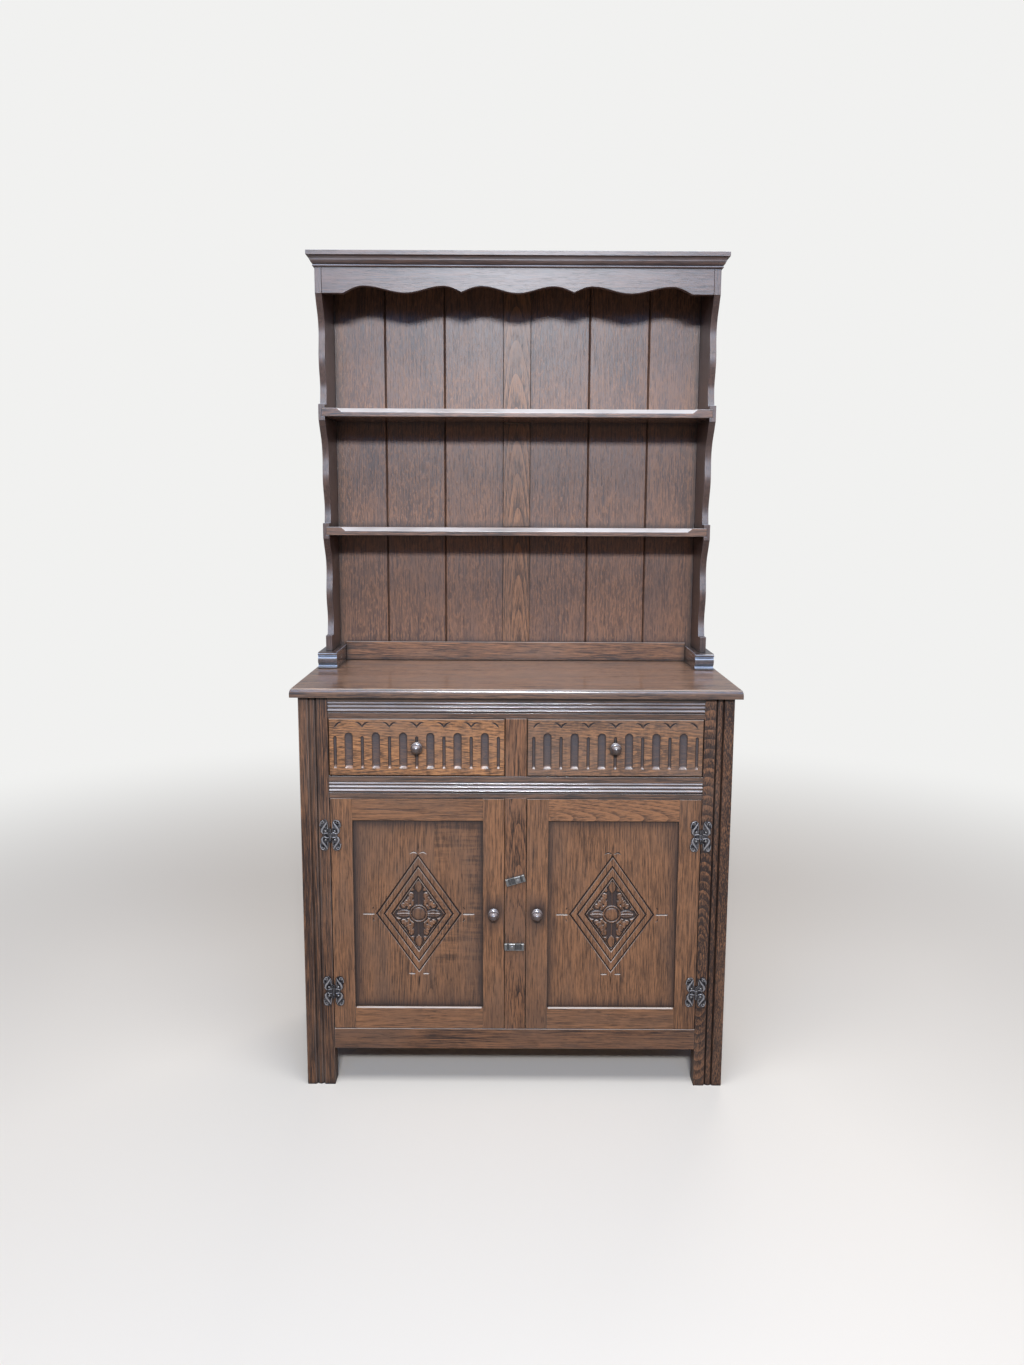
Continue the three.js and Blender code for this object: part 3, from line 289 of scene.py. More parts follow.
def oak(name, dark, light, highlight_and_wear_colour, ring=4.6 * mm, fleck=0.18, haze=(0.1, 0.064, 0.048),
        stain_and_shade=(0.022, 0.016, 0.018), gloss=(0.3, 0.34, 1.5), open_grain=0.5, paling=1.0):
    """Stained and polished oak: rings, fibres, open pores, ray flecks, painted shade in corners, and a
    painted highlight on slopes that face up.
    """
    material, tree, shader = new_material(name)
    links = tree.links

    def attribute(word, part="Fac"):
        made = add_node(tree, "Attribute")
        made.attribute_name = word
        return made.outputs[part]

    def scaled(source, sizes):
        return add_node(tree, "VectorMath", {0: source, 1: sizes}, "MULTIPLY").outputs[0]

    def noise(source, detail, roughness=0.55):
        made = add_node(tree, "TexNoise", {"Vector": source, "Scale": 1.0, "Detail": detail,
                                           "Roughness": roughness})
        return made.outputs["Fac"]

    def span(source, low, high, to_low=0.0, to_high=1.0):
        made = add_node(tree, "MapRange", {"Value": source, "From Min": low, "From Max": high,
                                           "To Min": to_low, "To Max": to_high})
        return made.outputs[0]

    def reckon(kind, first, second):
        return add_node(tree, "Math", {0: first, 1: second}, kind).outputs[0]

    def times(first, second):
        return reckon("MULTIPLY", first, second)

    def plus(first, second):
        return reckon("ADD", first, second)

    def blend_colour(amount, *colours):
        first, second = ((*c, 1) if isinstance(c, tuple) else c for c in colours)
        return add_node(tree, "Mix", {0: amount, 6: first, 7: second}).outputs[2]

    # What the mesh says of each place, the log's rings, and finer marks that run with the grain
    log = attribute("grain", "Vector")
    rubbed, sunk, arched = (attribute(word) for word in ("rubbed", "sunk", "arched"))
    finish = add_node(tree, "SeparateXYZ", {0: attribute("finish", "Vector")})
    rings = add_node(tree, "TexWave", {"Vector": scaled(log, (1.0, 1.0, 0.09)),
                                       "Scale": math.pi / 10 / ring, "Distortion": 7.0, "Detail": 3.0,
                                       "Detail Scale": 0.1, "Detail Roughness": 0.55})
    rings.wave_type, rings.rings_direction, rings.wave_profile = "RINGS", "Z", "SAW"
    ring_wave = rings.outputs["Fac"]
    fibre = noise(scaled(log, (760.0, 760.0, 15.0)), 3.0, 0.6)
    thread = noise(scaled(log, (400.0, 400.0, 9.0)), 3.0)
    streak = noise(scaled(log, (44.0, 44.0, 2.6)), 3.0)
    cloud = noise(scaled(log, (12.0, 12.0, 5.0)), 3.0)
    vessel = span(noise(scaled(log, (520.0, 520.0, 44.0)), 2.0), 0.54, 0.64)
    slant = add_node(tree, "Mapping", {"Vector": log, "Rotation": (0.0, 0.3, 0.0),
                                       "Scale": (280.0, 90.0, 70.0)})
    ray = span(noise(slant.outputs[0], 3.0, 0.6), 0.5, 0.64)
    curl = span(noise(scaled(log, (11.0, 11.0, 125.0)), 3.0, 0.6), 0.36, 0.64, -0.34, 0.34)
    curl = times(curl, span(noise(scaled(log, (7.0, 7.0, 5.0)), 2.0), 0.42, 0.56))
    pores = times(vessel, span(ring_wave, 0.1, 0.8, 1.0, 0.35))

    # The figure, from 0 where the wood is darkest to 0.9 where it is lightest
    ring_show = times(reckon("SUBTRACT", ring_wave, 0.5), span(arched, 0.0, 1.0, 0.16, 0.85))
    figure = plus(ring_show, 0.36)
    for marks, low, high in ((fibre, -0.62, 0.65), (thread, -0.3, 0.34), (streak, -0.14, 0.17),
                             (cloud, -0.2, 0.22)):
        figure = plus(figure, span(marks, 0.3, 0.7, low, high))
    for shade in (finish.outputs["X"], times(curl, finish.outputs["Z"]), times(ray, fleck)):
        figure = plus(figure, shade)
    colour = blend_colour(span(figure, 0.0, 0.9), dark, light)

    # Polish gone hazy, open pores, stain and painted shade where the mesh marks them, and painted shade in
    # the corners
    film = span(noise(scaled(log, (14.0, 14.0, 5.0)), 3.0), 0.44, 0.68, 0.0, 0.4)
    film = plus(film, finish.outputs["Y"])
    colour = blend_colour(film, colour, haze)
    colour = blend_colour(times(pores, 0.6), colour, tuple(c * 0.3 for c in dark))
    hidden = add_node(tree, "AmbientOcclusion", {"Distance": 16 * mm})
    hidden.samples = 6
    # Painted shade: corners and recesses darkened by ambient occlusion
    corner_shade = span(hidden.outputs["AO"], 0.4, 0.97, 0.92, 0.0)
    colour = blend_colour(reckon("MINIMUM", times(sunk, 0.9), 0.88), colour, stain_and_shade)
    colour = blend_colour(corner_shade, colour, tuple(c * 0.2 for c in dark))

    # Painted highlight: slopes and rounded arrises that face up are painted pale, less in shaded corners
    # and stained cuts; every rounded arris also gets a little real wear
    lean = add_node(tree, "SeparateXYZ", {0: add_node(tree, "NewGeometry").outputs["Normal"]})
    upward_highlight = times(span(lean.outputs["Z"], 0.2, 0.6), span(lean.outputs["Z"], 0.96, 0.86))
    highlight_and_wear = reckon("MAXIMUM", times(upward_highlight, span(cloud, 0.3, 0.6, 0.5 * paling, paling)),
                     times(rubbed, span(cloud, 0.35, 0.62, 0.0, 0.16 * paling)))
    highlight_and_wear = times(highlight_and_wear, span(hidden.outputs["AO"], 0.3, 0.62))
    top_arris_highlight = times(rubbed, span(lean.outputs["Z"], 0.1, 0.4, 0.0, paling))
    highlight_and_wear = reckon("MAXIMUM", highlight_and_wear, times(top_arris_highlight, span(cloud, 0.3, 0.6, 0.6, 1.0)))
    highlight_and_wear = times(highlight_and_wear, span(sunk, 0.15, 0.7, 1.0, 0.0))
    colour = blend_colour(highlight_and_wear, colour, highlight_and_wear_colour)
    links.new(colour, shader.inputs["Base Color"])

    # Polish and the open grain
    polish = plus(span(fibre, 0.3, 0.7, 0.4, 0.52), times(corner_shade, 0.2))
    links.new(polish, shader.inputs["Roughness"])
    links.new(span(highlight_and_wear, 0.0, 1.0, gloss[0], 0.4 * gloss[0]), shader.inputs["Coat Weight"])
    shader.inputs["Coat Roughness"].default_value, shader.inputs["Coat IOR"].default_value = gloss[1:]
    height = reckon("SUBTRACT", times(fibre, 0.7), pores)
    height = plus(height, times(ring_wave, 0.3))
    bump = add_node(tree, "Bump", {"Strength": open_grain, "Distance": 0.4 * mm,
                                   "Height": plus(height, times(ray, fleck))})
    links.new(bump.outputs[0], shader.inputs["Normal"])
    return material


frame_oak = oak("dark oak of the frame", (0.024, 0.0095, 0.006), (0.3, 0.128, 0.056), (0.46, 0.36, 0.3))
legs = (("front_leg_left", (0.06, 0.03), 0.012, -0.2), ("front_leg_right", (-0.02, 0.05), 0.22, -0.34),
        ("rear_leg_left", (0.01, 0.04), 0.02, -0.14), ("rear_leg_right", (0.0, 0.03), 0.01, -0.14))
inner_edge, inner_arches, outer_arches = 421 * mm, 1.0, 0.1
for number, (node, pith, tilt, tone) in enumerate(legs):
    leg = board(node, "dark_oak", frame_oak, "z", 10 + number, width=2 * mm, pith=pith, tilt=tilt,
                tone=tone, arched=(0.2,))
    if node == "front_leg_right":
        arches = leg.data.attributes["arched"].data
        for face in leg.data.polygons:
            for corner in face.loop_indices:
                arches[corner].value = inner_arches if face.center.x < inner_edge else outer_arches

# Rails and stiles of the front frame, all of oak and tenoned together. The upper two rails have
# three reeds worked along them and are polished, and the rest are plain.
# The pale colour on the up-facing sides of the reeds is a painted highlight.
reed_oak = oak("polished oak of the reeded rails", (0.02, 0.009, 0.006), (0.2, 0.09, 0.045),
               (0.55, 0.48, 0.46), gloss=(0.9, 0.12, 1.7), open_grain=0.15, paling=0.8)
for number, node in enumerate(("top_rail", "middle_rail")):
    board(node, "dark_oak", reed_oak, "x", 20 + number, width=0.6 * mm, pith=(0.05, 0.06), tilt=0.006)
board("bottom_rail", "dark_oak", frame_oak, "x", 22, pith=(0.05, 0.06), tilt=0.006, tone=0.16, film=0.1)
board("drawer_stile", "dark_oak", frame_oak, "z", 25, pith=(0.006, 0.028), tone=0.06, arched=(0.5,))
board("door_stile", "dark_oak", frame_oak, "z", 26, pith=(0.01, 0.04), tilt=0.05, tone=0.22, arched=(0.6,))

# Sides of the base. Each is a wide quarter-sawn oak panel that stands in grooves in the legs,
# over a plain rail that is tenoned into them.
panel_oak = oak("mid oak of the panels", (0.085, 0.037, 0.018), (0.345, 0.151, 0.066), (0.5, 0.41, 0.35))
for number, word in enumerate(("left", "right")):
    board(f"side_panel_{word}", "panel_oak", panel_oak, "z", 30 + number, pith=(0.03, 0.3), tilt=0.01)
    board(f"side_bottom_rail_{word}", "dark_oak", frame_oak, "y", 32 + number, pith=(0.0, 0.04))

# Inside of the base: cupboard floor, one shelf, the dust board with the drawers' guides, and
# a thin back sheet, all of plain unstained timber that has yellowed.
lining_oak = oak("unstained lining wood", (0.3, 0.18, 0.09), (0.6, 0.44, 0.27), (0.66, 0.5, 0.33),
                 ring=7 * mm, haze=(0.45, 0.32, 0.2))
for number, node in enumerate(("cupboard_floor", "cupboard_shelf", "drawer_deck")):
    board(node, "lining_wood", lining_oak, "x", 40 + number, pith=(0.0, 0.08))
board("base_back_panel", "lining_wood", lining_oak, "z", 44, pith=(0.02, 0.12), width=0.6 * mm)

# Worktop. One wide oak board fixed down on the legs and rails, its front and ends worked to a
# quarter oval, with a painted highlight along the top and painted shade below it.
top_oak = oak("polished oak of the worktop", (0.045, 0.021, 0.014), (0.43, 0.21, 0.105), (0.42, 0.34, 0.3),
              haze=(0.18, 0.12, 0.095), gloss=(1.0, 0.16, 1.5), open_grain=0.2, paling=0.35)
worktop = board("worktop", "dark_oak", top_oak, "x", 50, width=0.8 * mm, pith=(0.05, 0.12), tone=0.08)
# Painted shade: faces of the front and ends that lean away from the top are darkened.
edge_lean, edge_painted_shade = 0.7, 0.6
edge_shade_marks = worktop.data.attributes["sunk"].data
for v in worktop.data.vertices:
    if v.normal.z < edge_lean:
        edge_shade_marks[v.index].value = edge_painted_shade

# Drawers. Each front is one oak board, run with round flutes and gouged with a row of arched
# cuts above them. The box behind it is of plain timber with a thin bottom in grooves.
drawer_oak = oak("warm oak of the drawer fronts", (0.085, 0.034, 0.013), (0.5, 0.215, 0.08),
                 (0.34, 0.25, 0.2), haze=(0.13, 0.09, 0.072), stain_and_shade=(0.058, 0.05, 0.056),
                 gloss=(0.6, 0.26, 1.5))
drawer_grain = ({"tone": 0.12, "film": 0.0}, {"tone": -0.08, "film": 0.3})
front_face = -206.0
face_y, front_thickness = front_face * mm, 20 * mm
bay_middle, front_half, front_foot, front_top = 210.25, 186.25, 706.5, 829.5
front_arris = 1.8
cut_slope, cut_margin = 0.95, 4.0


def v_cut(points, widths, above=1.0, below=1.0):
    """A gouged line: its middle, contours of its flanks, and a width at each point, in millimetres."""
    contours = [points]
    for way, share in ((1, 1.0), (1, 0.5), (-1, 1.0), (-1, 0.5)):
        contour = []
        for k, (x, z) in enumerate(points):
            near = (max(0, min(j, len(points) - 1)) for j in (k + 1, k, k - 1))
            ahead, here, behind = (Vector(points[j]) for j in near)
            runs = [step.normalized() for step in (ahead - here, here - behind) if step.length > 0]
            run = sum(runs, Vector((0.0, 0.0))).normalized()
            reach = way * share * widths[k] / 2 / run.dot(runs[0]) * (above if way * run.x > 0 else below)
            contour.append((x - run.y * reach, z + run.x * reach))
        contours.append(contour)
    return {"middle": points, "widths": widths, "above": above, "below": below, "contours": contours}


def cut_depth(cut, x, z):
    """How deep a gouged line is at a point."""
    deepest = 0.0
    pairs = zip(cut["middle"], cut["middle"][1:], cut["widths"], cut["widths"][1:])
    for (ax, az), (bx, bz), start, end in pairs:
        beside = abs(x - (ax + bx) / 2) - abs(ax - bx) / 2
        past = abs(z - (az + bz) / 2) - abs(az - bz) / 2
        if max(beside, past) > cut_margin:
            continue
        run, rise = bx - ax, bz - az
        share = max(0.0, min(1.0, ((x - ax) * run + (z - az) * rise) / (run * run + rise * rise)))
        flank = cut["above"] if z > az + rise * share else cut["below"]
        away = math.hypot(x - ax - run * share, z - az - rise * share) / flank
        deepest = max(deepest, ((start + (end - start) * share) / 2 - away) * cut_slope)
    return deepest


def carved(low, high, y_front, y_back, lines, dots, depth, arris=0.0):
    """A slab between two corners in millimetres; depth(x, z) says how its front is sunk and how dark it
    is, from stain and painted shade.
    """
    spots, links = [], []

    def follow(points, closed=False):
        first = len(spots)
        spots.extend(Vector(p) for p in points)
        links.extend((first + k, first + k + 1) for k in range(len(points) - 1))
        if closed:
            links.append((len(spots) - 1, first))

    for inset in {0.0, arris}:
        follow([(low[0] + inset, low[1] + inset), (high[0] - inset, low[1] + inset),
                (high[0] - inset, high[1] - inset), (low[0] + inset, high[1] - inset)], True)
    for points, closed in lines:
        follow(points, closed)
    spots.extend(Vector(p) for p in dots)
    flat, _, faces, *_ = delaunay_2d_cdt(spots, links, [], 0, 0.0005)
    bm = bmesh.new()
    stain_and_shade_layer = bm.verts.layers.float.new("sunk")
    front = []
    for spot in flat:
        rim = min(spot.x - low[0], high[0] - spot.x, spot.y - low[1], high[1] - spot.y)
        sunk, share = depth(spot.x, spot.y)
        front.append(bm.verts.new((spot.x * mm, y_front + max(sunk, arris - rim) * mm, spot.y * mm)))
        front[-1][stain_and_shade_layer] = share
    rubbed = bm.faces.layers.float.new("rubbed")
    for face in faces:
        corners = [front[k] for k in face]
        middle = sum((flat[k] for k in face), Vector((0.0, 0.0))) / len(face)
        rim = min(middle.x - low[0], high[0] - middle.x, middle.y - low[1], high[1] - middle.y)
        bm.faces.new(corners)[rubbed] = 1.0 if rim < arris else 0.0
    rim_edges = [e for e in bm.edges if e.is_boundary]
    walls = bmesh.ops.extrude_edge_only(bm, edges=rim_edges)["geom"]
    for v in walls:
        if isinstance(v, bmesh.types.BMVert):
            v.co.y = y_back
    bmesh.ops.contextual_create(bm, geom=[e for e in bm.edges if e.is_boundary])
    bmesh.ops.recalc_face_normals(bm, faces=bm.faces)
    return bm


flute_pitch, flute_foot = 28.8, 721.0
wide_places, narrow_places = (-5, -3, -1, 1, 3, 5), (-6, -4, -2, 0, 2, 4, 6)
wide_half, wide_height, wide_depth, wide_scoop = 8.8, 79.0, 4.4, 11.0
narrow_half, narrow_height, narrow_depth, narrow_scoop = 3.5, 71.0, 3.2, 8.0
flute_shares, scoop_steps, arc_steps = (1.0, 0.94, 0.78, 0.5), (9.0, 5.0, 2.0, 0.0), 12
arch_points = ((11.6, 8.8), (16.6, 8.2), (20.8, 9.8), (24.8, 13.2), (28.4, 17.4), (29.6, 19.6))
arch_widths = (0.0, 2.6, 4.2, 4.6, 3.2, 0.0)


def flute_depth(x, z, middle, half, height, deepest, scoop):
    """A round-bottomed flute with a round top and a scooped run-out at its foot."""
    up = flute_foot + height - half
    away = abs(x - middle) if z <= up else math.hypot(x - middle, z - up)
    hollow = 1 - (away / half) ** 2
    if hollow <= 0 or z < flute_foot:
        return 0.0
    foot_arch = scoop * (1 - 0.5 * ((x - middle) / half) ** 2)
    return deepest * hollow ** 0.4 * min(1.0, max(0.0, (z - flute_foot) / foot_arch)) ** 0.8


def flute_rings(middle, half, height):
    """Contours of a flute from its edge to its middle."""
    up = flute_foot + height - half
    rings = []
    steps = [flute_foot + s for s in scoop_steps]
    turns = [math.pi * k / arc_steps for k in range(arc_steps + 1)]
    for share in flute_shares:
        r = half * share
        arc = [(middle + r * math.cos(turn), up + r * math.sin(turn)) for turn in turns]
        right, left = [(middle + r, z) for z in reversed(steps)], [(middle - r, z) for z in steps]
        rings.append((right + arc + left, True))
    rings.append(([(middle, z) for z in reversed(steps)] + [(middle, up + half * 0.7)], False))
    return rings


for number, (word, side) in enumerate(sides):
    body, centre = f"{word}_drawer", side * bay_middle
    flutes = [(centre + flute_pitch * k, wide_half, wide_height, wide_depth, wide_scoop)
              for k in wide_places]
    flutes += [(centre + flute_pitch * k, narrow_half, narrow_height, narrow_depth, narrow_scoop)
               for k in narrow_places]
    arches = [v_cut([(centre + flute_pitch * k + way * x, front_top - z) for x, z in arch_points],
                    arch_widths, above=1.4, below=0.6) for k in wide_places for way in (-1, 1)]
    lines = [ring for middle, half, height, *_ in flutes for ring in flute_rings(middle, half, height)]
    lines += [(contour, False) for cut in arches for contour in cut["contours"]]

    def front_depth(x, z, flutes=flutes, arches=arches):
        if z > flute_foot + wide_height + 1:
            sunk = max(cut_depth(cut, x, z) for cut in arches)
            return sunk, min(1.1, 2 * sunk)
        sunk = max((flute_depth(x, z, *flute) for flute in flutes if abs(x - flute[0]) < flute[1]),
                   default=0.0)
        # Stain in the flutes fades out on their scooped feet, so the painted highlight of up-facing slopes
        # shows there.
        return sunk, min(1.0, sunk / 2) * min(1.0, max(0.0, (z - flute_foot - 2) / 9))

    front = carved((centre - front_half, front_foot), (centre + front_half, front_top), face_y,
                   face_y + front_thickness, lines, [], front_depth, front_arris)
    mesh = finish_mesh(front, f"{body}_front_carved", 30)
    lay_grain(mesh, "x", 60 + number, pith=(-0.02, 0.05), tilt=0.08, arched=(0.6,), ripple=(0.5,),
              **drawer_grain[number])
    new_piece(mesh, body, "drawer_oak", drawer_oak, f"{body}_front")
    board(f"{body}_box", "lining_wood", lining_oak, "y", 62 + number, body=body)
    board(f"{body}_bottom", "lining_wood", lining_oak, "x", 64 + number, body=body)

# Knobs. Each is turned from oak with a flat collar, a bead and a ball, glued into its front by
# a peg, and handled until it shines.
# The pale colour on the upper side of each knob is a painted highlight.
knob_wood = oak("handled oak of the knobs", (0.03, 0.015, 0.013), (0.11, 0.06, 0.046), (0.5, 0.42, 0.4),
                haze=(0.09, 0.066, 0.06), gloss=(1.0, 0.16, 2.0), open_grain=0.15, paling=0.7)
ball_middle, ball_radius = 18.1, 9.8
knob_profile = [(-12, 3.9), (0, 3.9), (0, 10.8), (0.6, 11.5), (2.2, 11.6), (3.0, 10.8), (3.6, 9.0),
                (5.0, 7.7), (7.4, 7.3), (8.8, 8.4), (9.6, 10.4), (10.7, 11.9), (12.0, 12.4),
                (13.2, 12.0), (14.1, 10.9), (14.6, 9.2)]
knob_profile += [(ball_middle - ball_radius * math.cos(turn), ball_radius * math.sin(turn))
                 for turn in (math.radians(a) for a in range(74, 178, 8))]


def turned(name, profile, place, steps=32):
    """A round piece turned about the line that runs out of the face at its place, in millimetres."""
    bm = bmesh.new()
    rings = []
    turns = [2 * math.pi * k / steps for k in range(steps)]
    for out, radius in profile:
        rings.append([bm.verts.new(((place[0] + radius * math.cos(turn)) * mm, (place[1] - out) * mm,
                                    (place[2] + radius * math.sin(turn)) * mm)) for turn in turns])
    for inner, outer in zip(rings, rings[1:]):
        for k in range(steps):
            bm.faces.new((inner[k], inner[(k + 1) % steps], outer[(k + 1) % steps], outer[k]))
    last_out, last_radius = profile[-1]
    tip = bm.verts.new((place[0] * mm, (place[1] - last_out - 0.03 * last_radius) * mm, place[2] * mm))
    for k in range(steps):
        bm.faces.new((rings[-1][k], rings[-1][(k + 1) % steps], tip))
    bm.faces.new(rings[0])
    bmesh.ops.recalc_face_normals(bm, faces=bm.faces)
    return finish_mesh(bm, name, 45)


drawer_knob_height, door_knob_height, door_knob_side = 768.0, 400.0, 47.0
knob_places = [(f"{word}_drawer", side * bay_middle, drawer_knob_height) for word, side in sides]
knob_places += [(f"{word}_door", side * door_knob_side, door_knob_height) for word, side in sides]
for number, (body, x, z) in enumerate(knob_places):
    mesh = turned(f"{body}_knob_turned", knob_profile, (x, front_face, z))
    lay_grain(mesh, "y", 68 + number, pith=(0.02, 0.01), tilt=0.0)
    new_piece(mesh, body, "turned_wood", knob_wood, f"{body}_knob")

# Doors. Oak stiles and rails are tenoned round a panel that floats in grooves. The panel has
# three diamonds in V cuts round a rosette of leaves, which stands in a dark sunk ground.
panel_y, panel_back = -199 * mm, -191 * mm
diamond_x, diamond_z = 91.0, 132.0
diamond_shares, diamond_cut = (1.0, 0.82, 0.64), 5.0
carving_z, carving_half_x, carving_half_z = 395.75, 126, 174
rosette_half_x, rosette_half_z = 61, 88
glue_joint = -175.0
leaf_lobes = ((16.5, 43.0, 6.6), (19.5, 33.5, 6.6), (25.5, 26.0, 6.8), (32.5, 18.5, 6.8))
leaf_blade = ((14.8, 38.5, 5.0), (16.8, 28.5, 6.0), (23.5, 20.5, 5.4))
tip_middle, tip_reach, tip_width = 62.0, 13.5, 8.8
petal_middle, petal_reach, petal_width = 32.0, 16.0, 9.6
boss_radius, ring_radius, ring_width = 15.2, 18.0, 2.2
lobe_rise, blade_rise, tip_rise, petal_rise, boss_rise, ring_rise = 2.5, 2.1, 2.3, 2.1, 2.3, 2.0
ground_depth, ground_edge, ground_dark = 2.6, 1.3, 2.4
edge_shade_reach, edge_shade_steps = 36.0, (1.0, 5.0, 10.0, 17.0, 25.0)
groove_dark_depth, up_facing_lip_share, lip_reach = 1.4, 0.45, 0.6


def closed_cut(points, width):
    return v_cut(points + points[:2], [width] * (len(points) + 2))


def rosette_depth(x, z):
    """The sunk ground with its lobed leaves, two ribbed petals, a ringed boss and a leaf each end."""
    x, z = abs(x), abs(z)
    r = math.hypot(x, z)
    tip = 1 - ((z - tip_middle) / tip_reach) ** 2
    tip_half = tip_width * max(0.0, tip) ** 0.75
    petal = 1 - ((x - petal_middle) / petal_reach) ** 2
    petal_half = petal_width * max(0.0, petal) ** 0.7
    outside = min(r - 23.0, max(x - 11.5, z - 54.0), math.hypot((x - 33.0) / 1.7, z) - 12.5,
                  math.hypot(x, (z - tip_middle) / 1.35) - 12.0,
                  *(math.hypot(x - a, z - b) - c - 3.4 for a, b, c in leaf_lobes))
    sunk = ground_depth * max(0.0, min(1.0, -outside / ground_edge))
    raised = 0.0
    inside = max(c - math.hypot(x - a, z - b) for a, b, c in leaf_lobes)
    if inside > 0:
        rib = min(abs((z - b) * 0.84 - (x - a) * 0.55) + 0.5 * max(0.0, math.hypot(x - a, z - b) - c * 0.8)
                  for a, b, c in leaf_lobes)
        raised = lobe_rise * min(1.0, inside / 1.7) - 0.8 * max(0.0, 1 - rib / 1.1)
    blade = max(c - math.hypot(x - a, z - b) for a, b, c in leaf_blade)
    if blade > 0:
        raised = max(raised, blade_rise * min(1.0, blade / 1.7))
    if x < tip_half:
        raised = max(raised, tip_rise * min(1.0, (1 - x / tip_half) / 0.3))
    if z < petal_half:
        raised = max(raised, petal_rise * (1 - (z / petal_half) ** 2) ** 0.5
                     * (0.72 + 0.28 * math.cos(3 * math.pi * z / petal_half)))
    if r < boss_radius:
        raised = max(raised, boss_rise * (1 - (r / boss_radius) ** 4) ** 0.5)
    if abs(r - ring_radius) < ring_width:
        raised = max(raised, ring_rise * (1 - ((r - ring_radius) / ring_width) ** 2) ** 0.5)
    if x < 2.4 and 20 < z < 50:
        raised = max(raised, 1.1 * (1 - x / 2.4))
    return max(0.0, sunk - raised)


side_flick = ((95.5, 17.5), (99.0, 13.5), (100.5, 8.0))
end_flick = (138.0, 150.0, 172.0)
side_notch = (95.0, 97.0, 120.0, 122.0)
foot_notch = ((8.0, -137.5), (11.0, -136.8), (19.0, -136.8), (22.5, -137.8))
top_flick = ((1.5, 135.0), (5.5, 138.8), (10.5, 140.0), (15.0, 138.2), (19.0, 134.4))
diamonds = []
for s in diamond_shares:
    diamonds.append(closed_cut([(0, diamond_z * s), (-diamond_x * s, 0), (0, -diamond_z * s),
                                (diamond_x * s, 0)], diamond_cut))
flicks = [v_cut([(side * x, up * z) for x, z in side_flick], (0.0, 3.0, 0.0))
          for side in (-1, 1) for up in (-1, 1)]
flicks += [v_cut([(0.0, up * z) for z in end_flick], (0.0, 2.6, 0.0)) for up in (-1, 1)]
notches = [v_cut([(side * x, 0.0) for x in side_notch], (0.0, 4.4, 4.0, 0.0)) for side in (-1, 1)]
notches += [v_cut([(side * x, z) for x, z in foot_notch], (0.0, 4.2, 4.2, 0.0)) for side in (-1, 1)]
top_arcs = [v_cut([(side * x, z) for x, z in top_flick], (0.0, 2.6, 3.4, 2.6, 0.0)) for side in (-1, 1)]
dot_step, dot_row, dotted_share = 1.35, 0.87, 0.6
rosette_dots = []
for row in range(-64, 65):
    for column in range(-38, 39):
        x = (column + 0.5 * (row % 2)) * dot_step
        z = row * dot_step * dot_row
        if abs(x) / (diamond_x * dotted_share) + abs(z) / (diamond_z * dotted_share) < 1:
            rosette_dots.append((x, z))

# Painted shade along each panel's left, right, foot and head edges, where it meets the stiles and rails.
panel_edge_shades = ((1.0, 0.4, 0.8, 0.9), (0.4, 0.7, 0.6, 0.6))
panel_cuts = ((notches + top_arcs, flicks), (notches, flicks + top_arcs))
panel_grain = (
    {"pith": (0.03, 0.06), "tone": 0.06, "film": 0.14, "ripple": (0.1, 1.4), "arched": (0.5, 0.0),
     "joints": (glue_joint * mm,)},
    {"pith": (-0.05, 0.09), "tone": 0.02, "film": 0.04, "arched": (0.1,)})
top_rail_grain = ({"tone": 0.12, "arched": (0.1,), "tilt": 0.01},
                  {"tone": 0.4, "arched": (0.9,), "tilt": 0.09})
bottom_rail_tones = (0.26, 0.1)
knob_darkening, stile_foot_darkening = (door_knob_height, 34.0, 1.1), (150.0, 50.0, 0.4)
chamfer_foot, chamfer_top, chamfer_back = 177.5, 183.5, -200.0
stop_foot, stop_back = 180.9, -203.4

